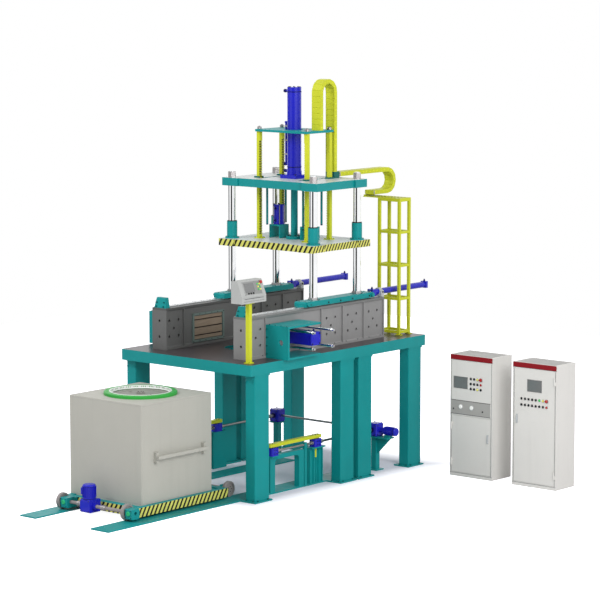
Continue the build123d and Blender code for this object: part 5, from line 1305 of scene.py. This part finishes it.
def lift_fittings():
    """Screws and covers of the jacks and bevel gearboxes, shaft couplings and the motor's fins."""
    shaft_z = middle("lift_shafts").z
    covers = Maker("jack_covers")
    ring = ((0.0365, 0), (0.056, 0), (0.052, 0.007), (0.0365, 0.007))
    small = []
    for side in SIDES:
        x = side * JACK_X
        for y in JACK_ROWS:
            covers.ring(ring, (x, y, JACK_TOP), Z_AXIS, 28)
            small += corner_places((x, y, JACK_TOP), 0.048, 0.058, Z_AXIS)
            small += round_places((x + side * 0.065, y, shaft_z), 0.034, 4, side * X_AXIS, 0.5)
        small += corner_places((x, BEVEL_Y, shaft_z + 0.1), 0.066, 0.066, Z_AXIS)
        small += corner_places((x + side * 0.09, BEVEL_Y, shaft_z), 0.062, 0.07, side * X_AXIS)
        small += corner_places((x, BEVEL_FRONT, shaft_z), 0.062, 0.07, -Y_AXIS)
        covers.drum(0.042, (x, BEVEL_FRONT, shaft_z), (x, BEVEL_FRONT - 0.01, shaft_z), 28, 0.002)
    covers.done("navy_paint", "machine")
    screws("gearbox_screws", "machine", small, 0.008, 0.007)
    sleeves = Maker("shaft_couplings")
    for side in SIDES:
        for y in (-1.56, -0.79, -0.59, 0.55):
            foot = (side * JACK_X, y, shaft_z)
            sleeves.coupling(foot, Y_AXIS, (0.027, 0.07, 0.003), (0.031, 0.03, 0.04), 24)
    sleeves.done("shaft_steel", "machine")
    motor_end = span("lift_motor")[1].x
    motor_y = middle("lift_motor").y
    fin = sizes().fin * 0.75
    ribs = fins((motor_end - 0.125, motor_y, shaft_z), X_AXIS, 0.062, 22, fin)
    bars("lift_motor_fins", "machine", ribs, (0.15, 0.003, fin), "blue_paint")
    cover = Maker("lift_motor_cover")
    ring = ((0.0615, 0), (0.0645, 0.002), (0.0645, 0.012), (0.0615, 0.014))
    cover.ring(ring, (motor_end - 0.045, BEVEL_Y, shaft_z), X_AXIS)
    cover.done("navy_paint", "machine")
    beam_low, beam_high = span("lift_beams")
    places = []
    for side in SIDES:
        x = side * JACK_X
        for y in (beam_low.y + 0.03, beam_high.y - 0.03):
            places.append(at(x, y, beam_high.z))
        for y in JACK_ROWS:
            places += corner_places((x, y, beam_high.z), 0.026, 0.026, Z_AXIS)
    screws("lift_beam_screws", "lift", places, 0.007, 0.006)


def face_spot(cabinet, x, z, proud=0.0):
    """A place on a cabinet's front, or standing proud of it, from its lower left corner."""
    return Vector((span(cabinet)[0].x + x, CABINET_FACE - proud, z))


def cabinet_fronts():
    """Header bands, seams, screens, rear louvres and tops of the control cabinets, and the left
    one's grey band with its lamps; the right cabinet's screen is on its door."""
    header = Maker("cabinet_headers")
    seams = Maker("cabinet_seams")
    half = CABINET_WIDTH / 2
    for cabinet in CABINETS:
        header.slab(face_spot(cabinet, half, 1.802, 0.004), (CABINET_WIDTH - 0.016, 0.012, 0.072))
        for z, height in ((0.05, 0.006), (1.763, 0.004)):
            seams.slab(face_spot(cabinet, half, z), (CABINET_WIDTH, 0.003, height))
        for x in (0.022, CABINET_WIDTH - 0.022):
            seams.slab(face_spot(cabinet, x, 0.9), (0.006, 0.003, 1.7))
    header.done("header_red", "machine", 0.002)
    seams.done("seam_grey", "machine")
    for cabinet, body, x, z in (
        ("left_cabinet", "machine", 0.193, 1.4245),
        ("right_cabinet", "right_door", 0.39, 1.509),
    ):
        screen = Maker(cabinet + "_screen")
        screen.slab(face_spot(cabinet, x, z), (0.242, 0.008, 0.163))
        screen.done("screen_glass", body, 0.002)
        bezel = Maker(cabinet + "_bezel")
        for way in SIDES:
            bezel.slab(face_spot(cabinet, x + way * 0.124, z), (0.007, 0.012, 0.178))
            bezel.slab(face_spot(cabinet, x, z + way * 0.0855), (0.255, 0.012, 0.007))
        bezel.done("seam_grey", body, 0.001)
    band = Maker("cabinet_band")
    band.slab(face_spot("left_cabinet", 0.377, 1.05), (0.722, 0.006, 0.205))
    band.done("band_grey", "machine", 0.001)
    lines = Maker("cabinet_band_lines")
    for z in (0.947, 1.153):
        lines.slab(face_spot("left_cabinet", 0.377, z), (0.73, 0.008, 0.006))
    for x in (0.065, 0.6):
        lines.button(0.012, 0.008, face_spot("left_cabinet", x, 1.02, 0.002), -Y_AXIS)
    lines.done("black_plastic", "machine")
    lamps = Maker("cabinet_lamps")
    rings = Maker("cabinet_lamp_rings")
    for x in (0.2, 0.4):
        lamps.button(0.03, 0.02, face_spot("left_cabinet", x, 1.06, 0.003), -Y_AXIS, 28)
        rings.washer(0.03, 0.038, 0.01, face_spot("left_cabinet", x, 1.06), -Y_AXIS, 32)
    lamps.done("white_lens", "machine")
    rings.done("pale_steel", "machine")
    louvres = []
    tops = Maker("cabinet_tops")
    for cabinet in CABINETS:
        low, high = span(cabinet)
        centre = middle(cabinet)
        tops.slab((centre.x, centre.y, high.z), (high.x - low.x - 0.09, high.y - low.y - 0.09, 0.004))
        for z in steps_between(0.25, 0.45, 9):
            louvres.append((Vector((centre.x, high.y, z)), Y_AXIS, X_AXIS))
    bars("cabinet_louvres", "machine", louvres, (0.3, 0.008, 0.006), "seam_grey")
    tops.done("band_grey", "machine", 0.001)


KEY_KINDS = {"k": "black_plastic", "y": "yellow_lens", "r": "red_lens", "g": "green_lens"}
KEY_PLANS = (
    ("left_cabinet", "machine", ("kkyR", "kkkr", "kkyk"), 0.381, 0.0605, (1.495, 1.42, 1.345)),
    ("right_cabinet", "right_door", ("kkkkkgyR", "kkkkkkkr"), 0.16, 0.0637, (1.304, 1.214)),
)


def cabinet_keys():
    """The push buttons of both cabinets, each with its collar; R is the large stop button."""
    radius = sizes().key
    for cabinet, body, rows, start, pitch, heights in KEY_PLANS:
        spots = {}
        collars = Maker(cabinet + "_collars")
        stop = Maker(cabinet + "_stop_key")
        for row, z in zip(rows, heights):
            for step, letter in enumerate(row):
                spot = face_spot(cabinet, start + step * pitch, z)
                size = radius * (1.35 if letter == "R" else 1.0)
                profile = ((size * 0.9, 0), (size * 1.25, 0), (size * 1.2, 0.005), (size * 0.9, 0.005))
                collars.ring(profile, spot, -Y_AXIS, 24)
                if letter == "R":
                    stop.drum(radius * 0.7, spot, spot - 0.012 * Y_AXIS, 20)
                    stop.button(radius * 1.4, 0.012, spot - 0.01 * Y_AXIS, -Y_AXIS, 24)
                else:
                    spots.setdefault(KEY_KINDS[letter], []).append(spot)
        collars.done("shaft_steel", body)
        stop.done("red_lens", body)
        for kind, places in spots.items():
            keys = Maker(cabinet + "_keys_" + kind)
            for spot in places:
                keys.button(radius, 0.012, spot, -Y_AXIS)
            keys.done(kind, body)


def cabinet_handles():
    """The swing handles and locks on the two cabinet doors."""
    for node, body, shift, z in (
        ("left_cabinet_door", "left_door", -0.05, 0.62),
        ("right_cabinet_door", "right_door", 0.05, 1.0),
    ):
        low, high = span(node)
        edge = high.x if shift < 0 else low.x
        centre = Vector((edge + shift, CABINET_FACE, z))
        lock = centre - 0.048 * Z_AXIS
        handle = Maker(node + "_handle")
        handle.slab(centre - 0.004 * Y_AXIS, (0.03, 0.01, 0.13))
        handle.slab(centre - 0.013 * Y_AXIS + 0.01 * Z_AXIS, (0.018, 0.012, 0.085))
        handle.drum(0.009, lock - 0.008 * Y_AXIS, lock - 0.018 * Y_AXIS, 20)
        handle.done("pale_steel", body, 0.002)


def stage_floor():
    """The pale floor: white to the camera but for the machine's shadow."""
    mesh = bpy.data.meshes.new("floor")
    half = 16
    corners = [(a * half, b * half, 0) for a, b in ((-1, -1), (1, -1), (1, 1), (-1, 1))]
    mesh.from_pydata(corners, [], [(0, 1, 2, 3)])
    floor = bpy.data.objects.new("floor", mesh)
    bpy.context.scene.collection.objects.link(floor)
    material, board, shader, where = start_material("floor_paint", specular=0.1)
    patches = board.patches(where, 0.7, 3.0)
    seen = board.add("ShaderNodeLightPath").outputs["Is Camera Ray"]
    grey = board.mix(patches, (0.70, 0.70, 0.72, 1.0), (0.73, 0.73, 0.75, 1.0))
    pale = board.mix(patches, (0.90, 0.88, 0.98, 1.0), (0.92, 0.90, 1.0, 1.0))
    board.join(board.mix(seen, grey, pale), shader.inputs["Base Color"])
    shader.inputs["Roughness"].default_value = 0.8
    x, y = board.parts(where)[:2]
    plate_low, plate_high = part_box("base_plate")
    past_x = board.outside(x, plate_low.x, plate_high.x)
    past_y = board.outside(y, plate_low.y, plate_high.y)
    past = board.math("MAXIMUM", past_x, past_y)
    glow = board.remap(past, -0.15, 0.5, 0.0, 0.95)
    board.join(board.math("MULTIPLY", seen, glow), shader.inputs["Emission Strength"])
    shader.inputs["Emission Color"].default_value = (1, 1, 1, 1)
    mesh.materials.append(material)


# Each flag's azimuth and half width in radians, and how much of the studio's light it takes

STREAKS = ((-1.15, 0.42, 0.97), (-2.7, 0.45, 0.9))
SHINE = 1.2


def studio_world():
    """A white studio; polished metal also sees two soft dark flags beside the camera."""
    world = bpy.data.worlds.new("studio")
    world.use_nodes = True
    bpy.context.scene.world = world
    board = Board(world.node_tree)
    x, y, z = board.parts(board.add("ShaderNodeTexCoord").outputs["Object"])
    azimuth = board.math("ARCTAN2", y, x)
    shine = SHINE
    for centre, half, depth in STREAKS:
        aside = board.math("WRAP", board.math("SUBTRACT", azimuth, centre), math.pi, -math.pi)
        flag = board.remap(board.math("ABSOLUTE", aside), half * 0.7, half, depth * SHINE, 0.0)
        shine = board.math("SUBTRACT", shine, flag)
    level = board.remap(board.math("ABSOLUTE", z), 0.3, 0.5, 0.0, 1.0)
    shine = board.math("MAXIMUM", shine, level)
    path = board.add("ShaderNodeLightPath")
    strength = board.either(path.outputs["Is Glossy Ray"], 0.6, shine)
    clear = board.math("MAXIMUM", path.outputs["Is Camera Ray"], path.outputs["Is Transmission Ray"])
    strength = board.either(clear, strength, 1.0)
    sky = board.add("ShaderNodeBackground", {"Color": (1, 1, 1, 1), "Strength": strength})
    out = board.add("ShaderNodeOutputWorld")
    board.join(sky.outputs[0], out.inputs["Surface"])


def lamp(name, place, watts, size, target):
    """A square soft lamp that looks at a target."""
    light = bpy.data.lights.new(name, "AREA")
    light.energy = watts
    light.shape = "SQUARE"
    light.size = size
    thing = bpy.data.objects.new(name, light)
    bpy.context.scene.collection.objects.link(thing)
    thing.location = Vector(place)
    thing.rotation_euler = (Vector(target) - Vector(place)).to_track_quat("-Z", "Y").to_euler()


CAMERA_PLACE = Vector((25.769, -30.507, 7.807))
CAMERA_AIM = Vector((-0.63823, 0.75885, -0.12967))
FOCAL_SHARE = 2672.8 / 600


def camera():
    """The camera at the photograph's angle."""
    data = bpy.data.cameras.new("camera")
    data.sensor_width = 36.0
    data.lens = FOCAL_SHARE * data.sensor_width
    data.clip_end = 200
    thing = bpy.data.objects.new("camera", data)
    bpy.context.scene.collection.objects.link(thing)
    thing.location = CAMERA_PLACE + ORIGIN
    thing.rotation_euler = CAMERA_AIM.to_track_quat("-Z", "Y").to_euler()
    bpy.context.scene.camera = thing


def stage():
    """Floor, world, lamps, camera and view settings."""
    stage_floor()
    studio_world()
    lamp("key_lamp", (-9, -14, 15), 1500, 7, (0, -1, 1.5))
    lamp("fill_lamp", (14, -5, 9), 1400, 8, (0, -1, 1.5))
    camera()
    bpy.context.scene.view_settings.view_transform = "Standard"


def dress_nodes():
    """A finish for every CAD node."""
    for name, nodes in NODE_FINISHES.items():
        for node in nodes:
            give(node, name)


# The add-on's buttons


class CASTER_OT_finishes(bpy.types.Operator):
    """Paint and metal on every part of the frame."""

    bl_idname = "caster.finishes"
    bl_label = "Finishes"

    def execute(self, context):
        dress_nodes()
        return {"FINISHED"}


class CASTER_OT_frame_screws(bpy.types.Operator):
    """Nuts and screws of the columns and rails."""

    bl_idname = "caster.frame_screws"
    bl_label = "Frame screws"

    def execute(self, context):
        frame_screws()
        rail_screws()
        return {"FINISHED"}


class CASTER_OT_core_fittings(bpy.types.Operator):
    """Screws, nuts and unions of the side cores."""

    bl_idname = "caster.core_fittings"
    bl_label = "Side core fittings"

    def execute(self, context):
        core_fittings()
        return {"FINISHED"}


class CASTER_OT_carriage_screws(bpy.types.Operator):
    """Screws of the carriage bars."""

    bl_idname = "caster.carriage_screws"
    bl_label = "Carriage screws"

    def execute(self, context):
        carriage_screws()
        return {"FINISHED"}


class CASTER_OT_platen_screws(bpy.types.Operator):
    """Screws and wipers on the moving platen."""

    bl_idname = "caster.platen_screws"
    bl_label = "Platen screws"

    def execute(self, context):
        platen_screws()
        return {"FINISHED"}


class CASTER_OT_ejector_fittings(bpy.types.Operator):
    """Tie rods, nuts and unions of the ejector cylinders."""

    bl_idname = "caster.ejector_fittings"
    bl_label = "Ejector fittings"

    def execute(self, context):
        ejector_fittings()
        return {"FINISHED"}


class CASTER_OT_cylinder_fittings(bpy.types.Operator):
    """Ports, bands, clips and screws of the main cylinder."""

    bl_idname = "caster.cylinder_fittings"
    bl_label = "Main cylinder fittings"

    def execute(self, context):
        cylinder_fittings()
        return {"FINISHED"}


class CASTER_OT_crown_nuts(bpy.types.Operator):
    """Nuts on the crown plate."""

    bl_idname = "caster.crown_nuts"
    bl_label = "Crown nuts"

    def execute(self, context):
        crown_nuts()
        return {"FINISHED"}


class CASTER_OT_chain_fittings(bpy.types.Operator):
    """Pins and end clamps of the drag chains."""

    bl_idname = "caster.chain_fittings"
    bl_label = "Drag chain fittings"

    def execute(self, context):
        chain_fittings()
        return {"FINISHED"}


class CASTER_OT_tower_fittings(bpy.types.Operator):
    """Tray slots and foot screws of the chain tower."""

    bl_idname = "caster.tower_fittings"
    bl_label = "Tower fittings"

    def execute(self, context):
        tower_fittings()
        return {"FINISHED"}


class CASTER_OT_rear_cylinder_fittings(bpy.types.Operator):
    """Unions, glands and screws of the rear cylinders."""

    bl_idname = "caster.rear_cylinder_fittings"
    bl_label = "Rear cylinder fittings"

    def execute(self, context):
        rear_cylinder_fittings()
        return {"FINISHED"}


class CASTER_OT_console_fittings(bpy.types.Operator):
    """Panel, screen, buttons and aerial of the console."""

    bl_idname = "caster.console_fittings"
    bl_label = "Console fittings"

    def execute(self, context):
        console_fittings()
        return {"FINISHED"}


class CASTER_OT_furnace_fittings(bpy.types.Operator):
    """Rim, screws, lid handle and seams of the furnace."""

    bl_idname = "caster.furnace_fittings"
    bl_label = "Furnace fittings"

    def execute(self, context):
        furnace_fittings()
        return {"FINISHED"}


class CASTER_OT_trolley_fittings(bpy.types.Operator):
    """Hub caps, screws, couplings, motor fins and seams of the trolley."""

    bl_idname = "caster.trolley_fittings"
    bl_label = "Trolley fittings"

    def execute(self, context):
        trolley_fittings()
        wheel_fittings()
        return {"FINISHED"}


class CASTER_OT_lift_fittings(bpy.types.Operator):
    """Screws, covers, couplings and motor fins of the lifting gear."""

    bl_idname = "caster.lift_fittings"
    bl_label = "Lift fittings"

    def execute(self, context):
        lift_fittings()
        return {"FINISHED"}


class CASTER_OT_cabinet_fronts(bpy.types.Operator):
    """Headers, seams, screens, buttons, lamps, handles and louvres of the cabinets."""

    bl_idname = "caster.cabinet_fronts"
    bl_label = "Cabinet fronts"

    def execute(self, context):
        cabinet_fronts()
        cabinet_keys()
        cabinet_handles()
        return {"FINISHED"}


class CASTER_OT_stage(bpy.types.Operator):
    """Floor, light and camera."""

    bl_idname = "caster.stage"
    bl_label = "Stage"

    def execute(self, context):
        stage()
        return {"FINISHED"}


OPERATORS = (
    CASTER_OT_finishes,
    CASTER_OT_frame_screws,
    CASTER_OT_core_fittings,
    CASTER_OT_carriage_screws,
    CASTER_OT_platen_screws,
    CASTER_OT_ejector_fittings,
    CASTER_OT_cylinder_fittings,
    CASTER_OT_crown_nuts,
    CASTER_OT_chain_fittings,
    CASTER_OT_tower_fittings,
    CASTER_OT_rear_cylinder_fittings,
    CASTER_OT_console_fittings,
    CASTER_OT_furnace_fittings,
    CASTER_OT_trolley_fittings,
    CASTER_OT_lift_fittings,
    CASTER_OT_cabinet_fronts,
    CASTER_OT_stage,
)


class CASTER_PT_panel(bpy.types.Panel):
    """Lists the machine's building steps, sizes and colours."""

    bl_label = "Die casting machine"
    bl_idname = "CASTER_PT_panel"
    bl_space_type = "VIEW_3D"
    bl_region_type = "UI"
    bl_category = "Casting"

    def draw(self, context):
        for group in (context.scene.caster_sizes, context.scene.caster_colours):
            for name in group.__annotations__:
                self.layout.prop(group, name)
        for operator in OPERATORS:
            self.layout.operator(operator.bl_idname)


CLASSES = (CASTER_PG_colours, CASTER_PG_sizes, *OPERATORS, CASTER_PT_panel)


def register():
    """Add the classes and the scene's settings."""
    for kind in CLASSES:
        bpy.utils.register_class(kind)
    bpy.types.Scene.caster_colours = bpy.props.PointerProperty(type=CASTER_PG_colours)
    bpy.types.Scene.caster_sizes = bpy.props.PointerProperty(type=CASTER_PG_sizes)


def unregister():
    """Take the settings and the classes away again."""
    del bpy.types.Scene.caster_sizes
    del bpy.types.Scene.caster_colours
    for kind in reversed(CLASSES):
        bpy.utils.unregister_class(kind)


def main():
    """Build everything in order."""
    register()
    for operator in OPERATORS:
        space, word = operator.bl_idname.split(".")
        getattr(getattr(bpy.ops, space), word)()


if __name__ == "__main__":
    main()
